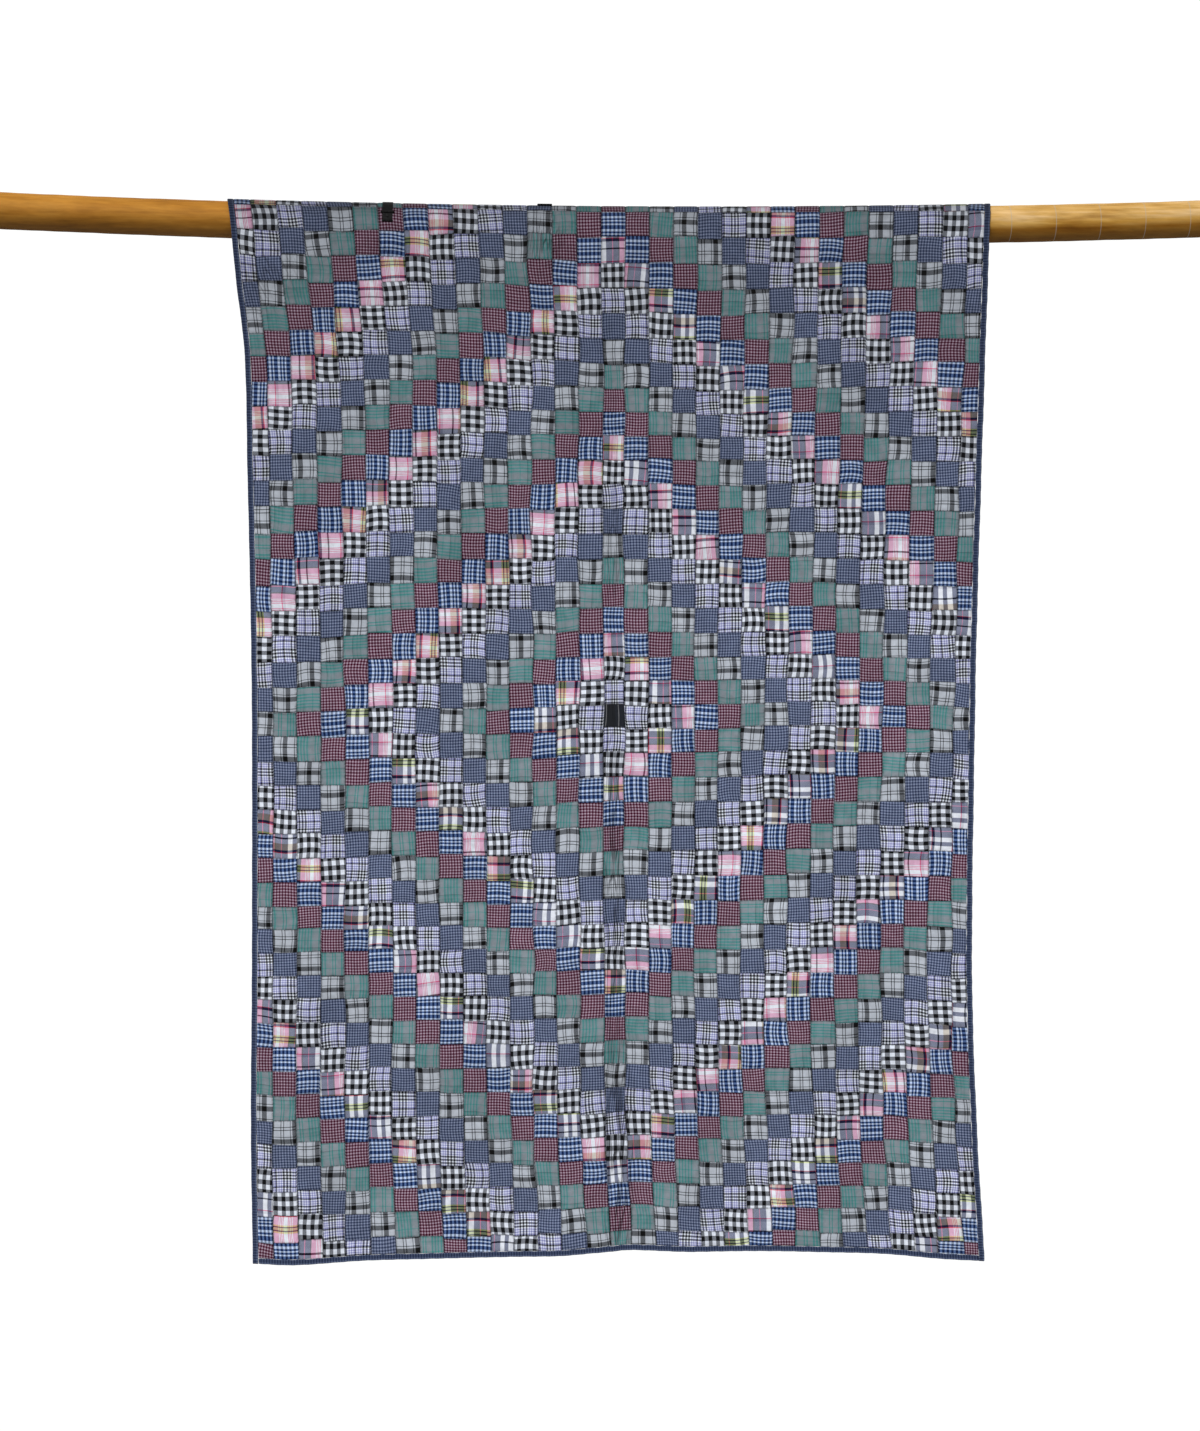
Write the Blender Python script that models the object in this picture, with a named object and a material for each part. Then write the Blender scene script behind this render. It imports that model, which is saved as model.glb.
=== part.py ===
"""A patchwork quilt that hangs by its top edge over a round wooden pole, held by two small clips.

Metres, +Z up. The origin is on the pole's axis in the middle of the quilt's width, +X runs along the pole
to the right, and the quilt's front faces -Y.

Cloth pieces are made flat first, in flat coordinates: across (+ right), down from the line on top of the
pole (negative behind it), and height over the middle of the cloth. The function hung() then says where each
flat point comes to hang.
"""

import math

import bmesh
import bpy
from mathutils import Matrix, Vector

# Pieced panel, flat
PATCH = 0.0508
LAST_COLUMN = 15
LAST_ROW = 22
TRIMMED_COLUMN_SHARE = 0.65
TRIMMED_ROW_SHARE = 0.60
SEAM_HEIGHT = 0.0012
PUFF = 0.0028
PULLED_HEIGHT = 0.0022
BACK_DEPTH = 0.0020

# Binding
BINDING_WIDTH = 0.0127
BINDING_HALF = 0.0023
BINDING_ROLL = 0.0016

# Pole
POLE_RADIUS = 0.038
POLE_LENGTH = 2.64
POLE_SIDES = 28
POLE_SPANS = 16
POLE_RISE = 0.0163
POLE_LOW_POINT = 0.194

# How the cloth lies on the pole
GAP = 0.0003
CLOTH_CLEARANCE = 0.0008
WRAP_RADIUS = POLE_RADIUS + CLOTH_CLEARANCE + BACK_DEPTH
FIRST_WHOLE_ROW = -20
FIRST_SEAM_ANGLE = math.radians(40.5)
MOST_WRAP_STEP = math.radians(14.6)

# Clips
CLIP_THICKNESS = 0.0016
CLIP_CORNER = 0.003
CLIP_STEP = math.radians(12)
RIVET_RADIUS = 0.0026
RIVET_HEIGHT = 0.0012
RIVET_TAPER = 0.8
RIVET_SIDES = 12
RIVET_FROM_END = 0.007

# Edges sharper than this are shaded as such
SHARP_EDGE = math.radians(40)

# What follows from those sizes
HALF_WIDTH = (LAST_COLUMN - 0.5 + TRIMMED_COLUMN_SHARE) * PATCH
FIRST_SEAM_DOWN = FIRST_SEAM_ANGLE * WRAP_RADIUS
PANEL_TOP = FIRST_SEAM_DOWN - (LAST_ROW - 0.5 + TRIMMED_ROW_SHARE + FIRST_WHOLE_ROW - 0.5) * PATCH
PANEL_BOTTOM = FIRST_SEAM_DOWN + (LAST_ROW - 0.5 + TRIMMED_ROW_SHARE - FIRST_WHOLE_ROW + 0.5) * PATCH
CLOTH_BOTTOM = PANEL_BOTTOM + BINDING_WIDTH
TANGENT_DOWN = WRAP_RADIUS * math.pi / 2
HANGING = CLOTH_BOTTOM - TANGENT_DOWN

# The hanging cloth's sides: how far down the cloth, and where its left edge, middle and right edge are
SIDES = (
    # down, left, middle, right
    (-0.066, -0.785, 0.009, 0.783),
    (0.000, -0.785, 0.009, 0.783),
    (0.064, -0.777, 0.009, 0.781),
    (0.190, -0.764, 0.009, 0.776),
    (0.330, -0.747, 0.009, 0.771),
    (0.570, -0.741, 0.009, 0.763),
    (0.830, -0.735, 0.009, 0.755),
    (1.060, -0.732, 0.010, 0.750),
    (1.590, -0.732, 0.011, 0.744),
    (1.920, -0.734, 0.015, 0.754),
    (2.206, -0.730, 0.025, 0.770),
)

# The lower edge: how far across the flat cloth, and how far it hangs below the pole's axis
HEM = (
    # across, drop
    (-0.782, 2.127),
    (-0.700, 2.130),
    (-0.550, 2.122),
    (-0.420, 2.117),
    (-0.140, 2.112),
    (-0.060, 2.106),
    (0.025, 2.100),
    (0.150, 2.103),
    (0.370, 2.102),
    (0.550, 2.107),
    (0.690, 2.117),
    (0.782, 2.122),
)

# Soft folds that run down the cloth: place at its head and at its foot, half width, how far it stands out
# (negative: goes back), and how far down it starts
FOLDS = (
    # head, foot, half_width, stands_out, starts
    (-0.700, -0.690, 0.070, 0.0070, 0.15),
    (-0.560, -0.545, 0.080, -0.0060, 0.10),
    (-0.400, -0.420, 0.085, 0.0075, 0.25),
    (-0.250, -0.240, 0.060, -0.0050, 0.45),
    (-0.110, -0.120, 0.055, 0.0040, 0.60),
    (0.000, 0.012, 0.026, -0.0060, 0.20),
    (0.120, 0.130, 0.060, 0.0045, 0.50),
    (0.270, 0.250, 0.070, -0.0055, 0.30),
    (0.420, 0.440, 0.080, 0.0070, 0.20),
    (0.590, 0.570, 0.075, -0.0065, 0.12),
    (0.715, 0.700, 0.060, 0.0065, 0.10),
)
FOLD_GROWTH = 0.35

# The rows sit closer together towards the foot, and the middle column is drawn in at its crease
ROW_CROWDING = 0.040
PINCH = 0.0040
PINCH_HALF_WIDTH = 0.030
PINCH_STARTS = 0.30

# The seams don't cross quite squarely: waves that shift a crossing aside and down, in radians per patch
WANDERS = (
    # size, aside_column, aside_row, below_column, below_row
    (0.0014, 1.3, 2.1, 2.4, -0.7),
    (0.0008, -2.7, 0.9, 1.1, 1.9),
)

# Clips: name, middle, width, angle over the top where it starts in front and ends behind, with a rivet
CLIPS = (
    # name, across, width, front_angle, back_angle, riveted
    ("clip_left", -0.4542, 0.0215, 82, 96, True),
    ("clip_middle", -0.1320, 0.0300, 13, 96, False),
)

# Material: red, green, blue, roughness
COLOURS = {
    "patchwork": (0.30, 0.33, 0.38, 0.90),
    "binding_cloth": (0.13, 0.18, 0.29, 0.90),
    "wood": (0.60, 0.37, 0.15, 0.55),
    "black_metal": (0.02, 0.02, 0.022, 0.45),
}


def clear_scene():
    for obj in list(bpy.data.objects):
        bpy.data.objects.remove(obj, do_unlink=True)
    for collection in list(bpy.data.collections):
        bpy.data.collections.remove(collection)


def new_collection(name):
    collection = bpy.data.collections.new(name)
    bpy.context.scene.collection.children.link(collection)
    return collection


def new_material(name):
    red, green, blue, roughness = COLOURS[name]
    material = bpy.data.materials.new(name)
    material.use_nodes = True
    shader = material.node_tree.nodes["Principled BSDF"]
    shader.inputs["Base Color"].default_value = (red, green, blue, 1)
    shader.inputs["Roughness"].default_value = roughness
    shader.inputs["Metallic"].default_value = 0
    return material


def new_object(name, bm, material, collection):
    """Makes an object of a closed shape, shaded smooth but for its sharp edges and those marked as such."""
    bmesh.ops.recalc_face_normals(bm, faces=bm.faces)
    for face in bm.faces:
        face.smooth = True
    for edge in bm.edges:
        if edge.calc_face_angle(0) > SHARP_EDGE:
            edge.smooth = False
    mesh = bpy.data.meshes.new(name)
    bm.to_mesh(mesh)
    bm.free()
    mesh.materials.append(material)
    obj = bpy.data.objects.new(name, mesh)
    collection.objects.link(obj)
    return obj


def smooth_step(value):
    value = min(max(value, 0.0), 1.0)
    return value * value * (3 - 2 * value)


def slope(table, row, column):
    """The slope of a table's column at one of its rows, over that row's neighbours."""
    before = table[max(row - 1, 0)]
    after = table[min(row + 1, len(table) - 1)]
    return (after[column] - before[column]) / (after[0] - before[0])


def read_table(table, at, column):
    """A smooth curve through a table's column, with the table's first column as the place along it."""
    at = min(max(at, table[0][0]), table[-1][0])
    row = 0
    while row < len(table) - 2 and at > table[row + 1][0]:
        row += 1
    start, end = table[row], table[row + 1]
    span = end[0] - start[0]
    share = (at - start[0]) / span
    rest = 1 - share
    start_slope, end_slope = slope(table, row, column) * span, slope(table, row + 1, column) * span
    from_start = rest**2 * (start[column] * (1 + 2 * share) + start_slope * share)
    from_end = share**2 * (end[column] * (1 + 2 * rest) - end_slope * rest)
    return from_start + from_end


def pole_height(x):
    """The height of the pole's sagging axis, which is 0 at the quilt's middle."""
    return POLE_RISE * ((x - POLE_LOW_POINT) ** 2 - POLE_LOW_POINT**2)


def sideways(across, down):
    """Where a flat place across the cloth comes to hang, at one distance down the cloth."""
    middle = read_table(SIDES, down, 2)
    edge = read_table(SIDES, down, 1 if across < 0 else 3)
    x = middle + (edge - middle) * abs(across) / (HALF_WIDTH + BINDING_WIDTH)
    share = across / PINCH_HALF_WIDTH
    pinch = PINCH * smooth_step((down - TANGENT_DOWN) / PINCH_STARTS)
    return x - pinch * share * math.exp(-share * share / 2)


def stands_out(across, down):
    """How far the folds bring the cloth forward of the plane in which it leaves the pole."""
    fall = (down - TANGENT_DOWN) / HANGING
    total = 0.0
    for head, foot, half_width, depth, starts in FOLDS:
        middle = head + (foot - head) * fall
        share = (across - middle) / half_width
        grown = smooth_step((down - TANGENT_DOWN) / starts) * (1 + FOLD_GROWTH * fall)
        total += depth * grown * math.exp(-share * share)
    return total


def on_pole(x, angle, radius):
    """A point beside the pole: the angle is 0 on top and grows towards the front."""
    return Vector((x, -radius * math.sin(angle), pole_height(x) + radius * math.cos(angle)))


def hung(across, down, height):
    """Where a point of the flat cloth hangs."""
    x = sideways(across, down)
    if down < TANGENT_DOWN:
        return on_pole(x, down / WRAP_RADIUS, WRAP_RADIUS + height)
    fall = (down - TANGENT_DOWN) / HANGING
    fall += ROW_CROWDING * fall * (1 - fall)
    axis = pole_height(x)
    y = -(WRAP_RADIUS + height + stands_out(across, down))
    return Vector((x, y, axis - fall * (axis + read_table(HEM, across, 1))))


def hang(bm):
    for vert in bm.verts:
        vert.co = hung(vert.co.x, -vert.co.y, vert.co.z)


def row_seam(row):
    """How far down the cloth the seam over a row lies. Row 0 is the middle one."""
    return FIRST_SEAM_DOWN + (row - FIRST_WHOLE_ROW) * PATCH


def column_lines():
    """The vertical seams and the panel's two sides, as places across."""
    seams = [(column - 0.5) * PATCH for column in range(1 - LAST_COLUMN, LAST_COLUMN + 1)]
    return [-HALF_WIDTH, *seams, HALF_WIDTH]


def row_lines():
    """The horizontal seams and the panel's two ends, with more lines between where it lies on the pole."""
    seams = [row_seam(row) for row in range(1 - LAST_ROW, LAST_ROW + 1)]
    seams = [PANEL_TOP, *seams, PANEL_BOTTOM]
    lines = []
    for start, end in zip(seams, seams[1:]):
        lines.append(start)
        curved_end = min(end, TANGENT_DOWN)
        if start < curved_end:
            steps = math.ceil((curved_end - start) / WRAP_RADIUS / MOST_WRAP_STEP)
            lines += [start + (curved_end - start) * step / steps for step in range(1, steps)]
            if curved_end < end:
                lines.append(curved_end)
    return [*lines, PANEL_BOTTOM]


def wander(across, down):
    """How far a crossing of seams lies off its place, across and down."""
    column, row = across / PATCH, down / PATCH
    aside = below = 0.0
    for size, aside_column, aside_row, below_column, below_row in WANDERS:
        aside += size * math.sin(aside_column * column + aside_row * row)
        below += size * math.sin(below_column * column + below_row * row)
    return aside, below


def front_height(down):
    """The height of the panel's front at a line: low in the seams, and pulled flat on the pole."""
    rows_down = (down - FIRST_SEAM_DOWN) / PATCH
    in_seam = abs(rows_down - round(rows_down)) * PATCH < GAP
    return SEAM_HEIGHT if in_seam or down > TANGENT_DOWN + GAP else PULLED_HEIGHT


def build_panel(material, collection):
    """The pieced sheet: a flat grid of patches, each puffed up between its quilted seams, then hung."""
    columns, rows = column_lines(), row_lines()
    bm = bmesh.new()
    bmesh.ops.create_grid(bm, x_segments=len(columns) - 1, y_segments=len(rows) - 1, size=1)
    for vert in bm.verts:
        column = round((vert.co.x + 1) / 2 * (len(columns) - 1))
        row = round((1 - vert.co.y) / 2 * (len(rows) - 1))
        across, down = columns[column], rows[row]
        inside = 0 < column < len(columns) - 1 and 0 < row < len(rows) - 1
        if inside and down > TANGENT_DOWN:
            aside, below = wander(across, down)
            across, down = across + aside, down + below
        vert.co = Vector((across, -down, 0))
    bmesh.ops.solidify(bm, geom=bm.faces, thickness=SEAM_HEIGHT + BACK_DEPTH)
    highest = max(vert.co.z for vert in bm.verts)
    for vert in bm.verts:
        at_front = highest - vert.co.z < SEAM_HEIGHT
        vert.co.z = front_height(-vert.co.y) if at_front else -BACK_DEPTH
    bmesh.ops.recalc_face_normals(bm, faces=bm.faces)
    first_puffed = row_seam(FIRST_WHOLE_ROW + 1)
    patches = [
        face
        for face in bm.faces
        if min(vert.co.z for vert in face.verts) > 0 and -face.calc_center_median().y > first_puffed
    ]
    seams = {edge for face in patches for edge in face.edges}
    bmesh.ops.poke(bm, faces=patches, offset=PUFF)
    hang(bm)
    for edge in seams:
        edge.smooth = False
    return new_object("quilt_panel", bm, material, collection)


def flat_bar(across, down, half_thickness, rolled):
    """A flat bar between two places across and two down, with its long edges bevelled on the rolled sides."""
    bm = bmesh.new()
    bmesh.ops.create_cube(bm, size=1)
    size = Vector((across[1] - across[0], down[1] - down[0], 2 * half_thickness))
    middle = Vector(((across[0] + across[1]) / 2, -(down[0] + down[1]) / 2, 0))
    bmesh.ops.transform(bm, matrix=Matrix.Translation(middle) @ Matrix.Diagonal(size.to_4d()), verts=bm.verts)
    outer = []
    for edge in bm.edges:
        ends = (edge.verts[0].co + edge.verts[1].co) / 2 - middle
        if (ends * 2 - Vector((size.x * rolled[0], size.y * rolled[1], 0))).xy.length < GAP:
            outer.append(edge)
    bmesh.ops.bevel(
        bm, geom=outer, offset=BINDING_ROLL, offset_type="OFFSET", segments=1, profile=0.5, affect="EDGES"
    )
    return bm


def cut_across(bm, places, axis):
    """Cuts a bar at each place along an axis, so that it can bend there."""
    normal = Vector((1, 0, 0)) if axis == "across" else Vector((0, 1, 0))
    along = 0 if axis == "across" else 1
    low = min(vert.co[along] for vert in bm.verts)
    high = max(vert.co[along] for vert in bm.verts)
    for place in places:
        point = place if axis == "across" else -place
        if low + GAP < point < high - GAP:
            everything = [*bm.verts, *bm.edges, *bm.faces]
            bmesh.ops.bisect_plane(bm, geom=everything, plane_co=normal * point, plane_no=normal, dist=1e-7)


def build_bindings(material, collection):
    """Four folded strips around the panel. The side strips run its full height, the others fit between."""
    outer_side = HALF_WIDTH + BINDING_WIDTH
    top = PANEL_TOP - BINDING_WIDTH
    side_lines = [PANEL_TOP - BINDING_WIDTH / 2, *row_lines()]
    strips = (
        ("binding_left", (-outer_side, -HALF_WIDTH - GAP), (top, CLOTH_BOTTOM), (-1, 0)),
        ("binding_right", (HALF_WIDTH + GAP, outer_side), (top, CLOTH_BOTTOM), (1, 0)),
        ("binding_top", (-HALF_WIDTH, HALF_WIDTH), (top, PANEL_TOP - GAP), (0, 1)),
        ("binding_bottom", (-HALF_WIDTH, HALF_WIDTH), (PANEL_BOTTOM + GAP, CLOTH_BOTTOM), (0, -1)),
    )
    for name, across, down, rolled in strips:
        bm = flat_bar(across, down, BINDING_HALF, rolled)
        if rolled[0]:
            cut_across(bm, side_lines, "down")
        else:
            cut_across(bm, column_lines(), "across")
            cut_across(bm, [(down[0] + down[1]) / 2], "down")
        hang(bm)
        new_object(name, bm, material, collection)


def build_pole(material, collection):
    """A round bar that sags along a shallow curve, with its two ends cut square."""
    bm = bmesh.new()
    lengthwise = Matrix.Rotation(math.pi / 2, 4, "Y")
    bmesh.ops.create_cone(
        bm,
        cap_ends=True,
        segments=POLE_SIDES,
        radius1=POLE_RADIUS,
        radius2=POLE_RADIUS,
        depth=POLE_LENGTH,
        matrix=lengthwise,
    )
    spans = [POLE_LENGTH * (span / POLE_SPANS - 0.5) for span in range(1, POLE_SPANS)]
    cut_across(bm, spans, "across")
    for vert in bm.verts:
        vert.co.z += pole_height(vert.co.x)
    return new_object("pole", bm, material, collection)


def clip_radius(thickness_share):
    """The radius inside, in the middle or outside a clip's band, which lies close on the cloth."""
    return WRAP_RADIUS + BINDING_HALF + GAP + CLIP_THICKNESS * thickness_share


def add_rivet(clip, across, angle, cutters):
    """Joins a low round rivet head to the outside of a clip's band."""
    bm = bmesh.new()
    bmesh.ops.create_cone(
        bm,
        cap_ends=True,
        segments=RIVET_SIDES,
        radius1=RIVET_RADIUS,
        radius2=RIVET_RADIUS * RIVET_TAPER,
        depth=2 * RIVET_HEIGHT,
    )
    bmesh.ops.transform(bm, matrix=Matrix.Rotation(angle, 4, "X"), verts=bm.verts)
    rivet = new_object(clip.name + "_rivet", bm, clip.data.materials[0], cutters)
    rivet.location = on_pole(across, angle, clip_radius(1))
    rivet.hide_render = True
    rivet.display_type = "WIRE"
    union = clip.modifiers.new("Rivet", "BOOLEAN")
    union.operation = "UNION"
    union.object = rivet


def build_clips(material, collection, cutters):
    """Thin spring bands, with rounded corners, that grip the cloth on the pole from above."""
    for name, across, width, front_angle, back_angle, riveted in CLIPS:
        front, back = math.radians(front_angle), math.radians(back_angle)
        length = (front + back) * clip_radius(0.5)
        bm = bmesh.new()
        bmesh.ops.create_cube(bm, size=1)
        size = Vector((width, length, CLIP_THICKNESS))
        bmesh.ops.transform(bm, matrix=Matrix.Diagonal(size.to_4d()), verts=bm.verts)
        corners = [edge for edge in bm.edges if abs(edge.verts[0].co.z - edge.verts[1].co.z) > GAP]
        bmesh.ops.bevel(
            bm,
            geom=corners,
            offset=CLIP_CORNER,
            offset_type="OFFSET",
            segments=2,
            profile=0.5,
            affect="EDGES",
        )
        steps = math.ceil((front + back) / CLIP_STEP)
        cut_across(bm, [length * (step / steps - 0.5) for step in range(1, steps)], "down")
        for vert in bm.verts:
            angle = (front - back) / 2 - vert.co.y / clip_radius(0.5)
            thickness_share = vert.co.z / CLIP_THICKNESS + 0.5
            vert.co = on_pole(across + vert.co.x, angle, clip_radius(thickness_share))
        clip = new_object(name, bm, material, collection)
        if riveted:
            add_rivet(clip, across, front - RIVET_FROM_END / clip_radius(1), cutters)


def main():
    clear_scene()
    parts = new_collection("quilt_on_pole")
    cutters = new_collection("cutters")
    build_panel(new_material("patchwork"), parts)
    build_bindings(new_material("binding_cloth"), parts)
    build_pole(new_material("wood"), parts)
    build_clips(new_material("black_metal"), parts, cutters)


main()
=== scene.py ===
"""The looks of a patchwork quilt on its pole: pieced plaid cloth, its binding, the wood and the black clips.

Metres, +Z up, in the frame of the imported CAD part: the origin is on the pole's axis in the middle of the
quilt's width, +X runs to the right and the quilt's front faces -Y. Cloth is laid out flat first, as places
across (+ right) and down from the line on top of the pole, with a height over the middle of the cloth. The
function hung() then says where each flat place comes to hang, on the folds of the CAD solid.
"""

import math

import bpy
import numpy as np
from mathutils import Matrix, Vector


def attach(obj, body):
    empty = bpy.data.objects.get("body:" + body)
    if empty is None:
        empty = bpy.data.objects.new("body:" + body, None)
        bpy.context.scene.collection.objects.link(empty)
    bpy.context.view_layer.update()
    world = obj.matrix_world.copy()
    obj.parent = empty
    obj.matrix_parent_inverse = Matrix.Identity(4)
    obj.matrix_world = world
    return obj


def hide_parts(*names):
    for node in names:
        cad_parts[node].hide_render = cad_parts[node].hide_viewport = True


# The sizes of the quilt and the pole, as in the CAD part
PATCH = 0.0508
LAST_COLUMN = 15
LAST_ROW = 22
TRIMMED_COLUMN_SHARE = 0.65
TRIMMED_ROW_SHARE = 0.60
SEAM_HEIGHT = 0.0012
BACK_DEPTH = 0.0020
BINDING_WIDTH = 0.0127
BINDING_HALF = 0.0023
POLE_RADIUS = 0.038
POLE_LENGTH = 2.64
POLE_RISE = 0.0163
POLE_LOW_POINT = 0.194
WRAP_RADIUS = 0.0408
FIRST_WHOLE_ROW = -20
FIRST_SEAM_ANGLE = math.radians(40.5)
HALF_WIDTH = (LAST_COLUMN - 0.5 + TRIMMED_COLUMN_SHARE) * PATCH
FIRST_SEAM_DOWN = FIRST_SEAM_ANGLE * WRAP_RADIUS
PANEL_TOP = FIRST_SEAM_DOWN - (LAST_ROW - 0.5 + TRIMMED_ROW_SHARE + FIRST_WHOLE_ROW - 0.5) * PATCH
PANEL_BOTTOM = FIRST_SEAM_DOWN + (LAST_ROW - 0.5 + TRIMMED_ROW_SHARE - FIRST_WHOLE_ROW + 0.5) * PATCH
CLOTH_BOTTOM = PANEL_BOTTOM + BINDING_WIDTH
TANGENT_DOWN = WRAP_RADIUS * math.pi / 2
HANGING = CLOTH_BOTTOM - TANGENT_DOWN

# The hanging cloth's sides: how far down the cloth, and where its left edge, middle and right edge are
SIDES = (
    # down, left, middle, right
    (-0.066, -0.785, 0.009, 0.783),
    (0.000, -0.785, 0.009, 0.783),
    (0.064, -0.777, 0.009, 0.781),
    (0.190, -0.764, 0.009, 0.776),
    (0.330, -0.747, 0.009, 0.771),
    (0.570, -0.741, 0.009, 0.763),
    (0.830, -0.735, 0.009, 0.755),
    (1.060, -0.732, 0.010, 0.750),
    (1.590, -0.732, 0.011, 0.744),
    (1.920, -0.734, 0.015, 0.754),
    (2.206, -0.730, 0.025, 0.770),
)

# The lower edge: how far across the flat cloth, and how far it hangs below the pole's axis
HEM = (
    # across, drop
    (-0.782, 2.127),
    (-0.700, 2.130),
    (-0.550, 2.122),
    (-0.420, 2.117),
    (-0.140, 2.112),
    (-0.060, 2.106),
    (0.025, 2.100),
    (0.150, 2.103),
    (0.370, 2.102),
    (0.550, 2.107),
    (0.690, 2.117),
    (0.782, 2.122),
)

# Soft folds that run down the cloth, as in the CAD part
FOLDS = (
    # head, foot, half_width, stands_out, starts
    (-0.700, -0.690, 0.070, 0.0070, 0.15),
    (-0.560, -0.545, 0.080, -0.0060, 0.10),
    (-0.400, -0.420, 0.085, 0.0075, 0.25),
    (-0.250, -0.240, 0.060, -0.0050, 0.45),
    (-0.110, -0.120, 0.055, 0.0040, 0.60),
    (0.000, 0.012, 0.026, -0.0060, 0.20),
    (0.120, 0.130, 0.060, 0.0045, 0.50),
    (0.270, 0.250, 0.070, -0.0055, 0.30),
    (0.420, 0.440, 0.080, 0.0070, 0.20),
    (0.590, 0.570, 0.075, -0.0065, 0.12),
    (0.715, 0.700, 0.060, 0.0065, 0.10),
)
FOLD_GROWTH = 0.35
ROW_CROWDING = 0.040
PINCH = 0.0040
PINCH_HALF_WIDTH = 0.030
PINCH_STARTS = 0.30

# The rows of patches don't lie level: how far they hang below (negative: above) their even places, at five
# places across the cloth. This fades out at the panel's two ends.
ROW_DRIFTS = (
    # down, at_left, at_mid_left, at_middle, at_mid_right, at_right
    (0.00, 0.001, 0.001, 0.004, 0.006, 0.005),
    (0.14, 0.005, 0.002, 0.010, 0.012, 0.010),
    (0.40, 0.000, -0.005, 0.009, 0.012, 0.003),
    (0.57, -0.005, -0.002, 0.001, 0.003, 0.000),
    (0.87, 0.006, 0.000, 0.001, 0.001, 0.000),
    (1.15, 0.005, 0.004, -0.003, -0.006, -0.009),
    (1.45, 0.000, 0.000, 0.000, 0.001, -0.006),
    (1.67, -0.010, -0.008, -0.003, 0.007, 0.000),
    (2.09, -0.010, -0.007, -0.003, 0.001, -0.002),
)
DRIFT_PLACES = (-0.70, -0.35, 0.00, 0.35, 0.70)
DRIFT_FADES = (0.04, 0.06)

# The columns sit closer together in the middle of the cloth, and wider apart near its sides
COLUMN_CROWDING = 0.0040

# Small creases: where, how long, how far turned from upright, how wide and how high (negative: deep)
CREASES = (
    # across, down, half_length, turned, half_width, height
    (-0.748, 0.085, 0.050, 18, 0.0065, -0.0022),
    (-0.722, 0.120, 0.060, 24, 0.0070, 0.0020),
    (-0.690, 0.135, 0.055, 30, 0.0065, -0.0018),
    (-0.655, 0.090, 0.045, 35, 0.0070, 0.0014),
    (-0.735, 0.200, 0.060, 8, 0.0065, -0.0018),
    (-0.466, 0.085, 0.035, -14, 0.0065, -0.0014),
    (-0.442, 0.090, 0.035, 12, 0.0065, -0.0014),
    (-0.133, 0.070, 0.045, 5, 0.0060, -0.0022),
    (-0.118, 0.075, 0.040, -8, 0.0060, 0.0016),
    (-0.146, 0.062, 0.035, 14, 0.0060, 0.0012),
    (0.006, 0.820, 0.110, 3, 0.0065, -0.0016),
    (-0.010, 1.090, 0.040, -6, 0.0060, -0.0016),
    (0.012, 1.310, 0.090, -4, 0.0065, -0.0018),
    (0.004, 1.600, 0.120, 4, 0.0065, -0.0018),
    (-0.008, 1.880, 0.100, 6, 0.0070, -0.0022),
    (0.018, 2.080, 0.080, -5, 0.0070, -0.0022),
    (-0.030, 2.140, 0.050, -18, 0.0070, 0.0018),
    (0.052, 2.130, 0.050, 14, 0.0070, 0.0016),
    (-0.300, 0.420, 0.060, 10, 0.0070, -0.0010),
    (0.330, 0.610, 0.070, -12, 0.0070, 0.0010),
    (0.560, 0.980, 0.080, 8, 0.0070, -0.0012),
    (-0.520, 1.180, 0.070, -9, 0.0070, 0.0012),
    (0.220, 1.450, 0.060, 16, 0.0070, -0.0010),
    (-0.360, 1.720, 0.070, -12, 0.0070, 0.0010),
    (0.660, 1.900, 0.080, 12, 0.0070, -0.0012),
    (-0.660, 1.980, 0.070, -10, 0.0070, 0.0012),
    (0.440, 2.080, 0.060, 10, 0.0070, -0.0012),
)

# Where the cloth is dragged into fine wrinkles, by the clips, the corner and the fold down the middle: the
# place, how far they reach, their turn from upright, how far apart they lie and how deep they may be
DRAGS = (
    # x, z, reach_across, reach_down, turned, apart, depth
    (-0.700, -0.100, 0.090, 0.110, -30, 0.019, 0.0026),
    (-0.458, -0.050, 0.060, 0.060, -5, 0.010, 0.0020),
    (-0.128, -0.035, 0.050, 0.080, 4, 0.009, 0.0034),
    (0.010, -0.620, 0.026, 0.350, 0, 0.010, 0.0024),
    (0.010, -1.340, 0.030, 0.480, 0, 0.013, 0.0050),
    (0.020, -1.900, 0.042, 0.330, 2, 0.014, 0.0064),
)

# How many times longer than wide a wrinkle is, how sharp it is, how deep the darkest hollow is and how dark
# its painted shade is, and a reach through the cloth that is too long to matter
WRINKLE_LENGTH = 9
WRINKLE_SHARPNESS = 17.0
HOLLOW_DEPTH = 0.0060
PAINTED_HOLLOW_SHADE = 0.36
ANY_DEPTH = 9

# The clips' rolled ends and the pivot, as bars across their bands, and the depth of the enamel's scuffs
CLIP_RADIUS = 0.0450
CLIP_BARS = (
    # name, across, angle, length, thickness
    ("clip_left_roll", -0.4542, 85.2, 0.0232, 0.0026),
    ("clip_left_pivot", -0.4542, 61.0, 0.0286, 0.0027),
    ("clip_middle_roll", -0.1320, 14.0, 0.0310, 0.0021),
)
BAR_SIDES = 16
DOME_RINGS = 6
SCUFF_DEPTH = 0.00012

# How the patches differ: standard deviations, in metres, radians or shares
SEAM_DROP = 0.0013
SLOW_DROP = 0.0018
SEAM_LEAN = 0.024
SEAM_WAVE = 0.0016
PUFF_SPREAD = 0.22
GRAIN_TURN = math.radians(2.0)
GRAIN_BEND = 0.0012
SHADE_SPREAD = 0.035
CUT_SPREAD = 0.003
OFF_GRAIN = 0.0016

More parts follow.
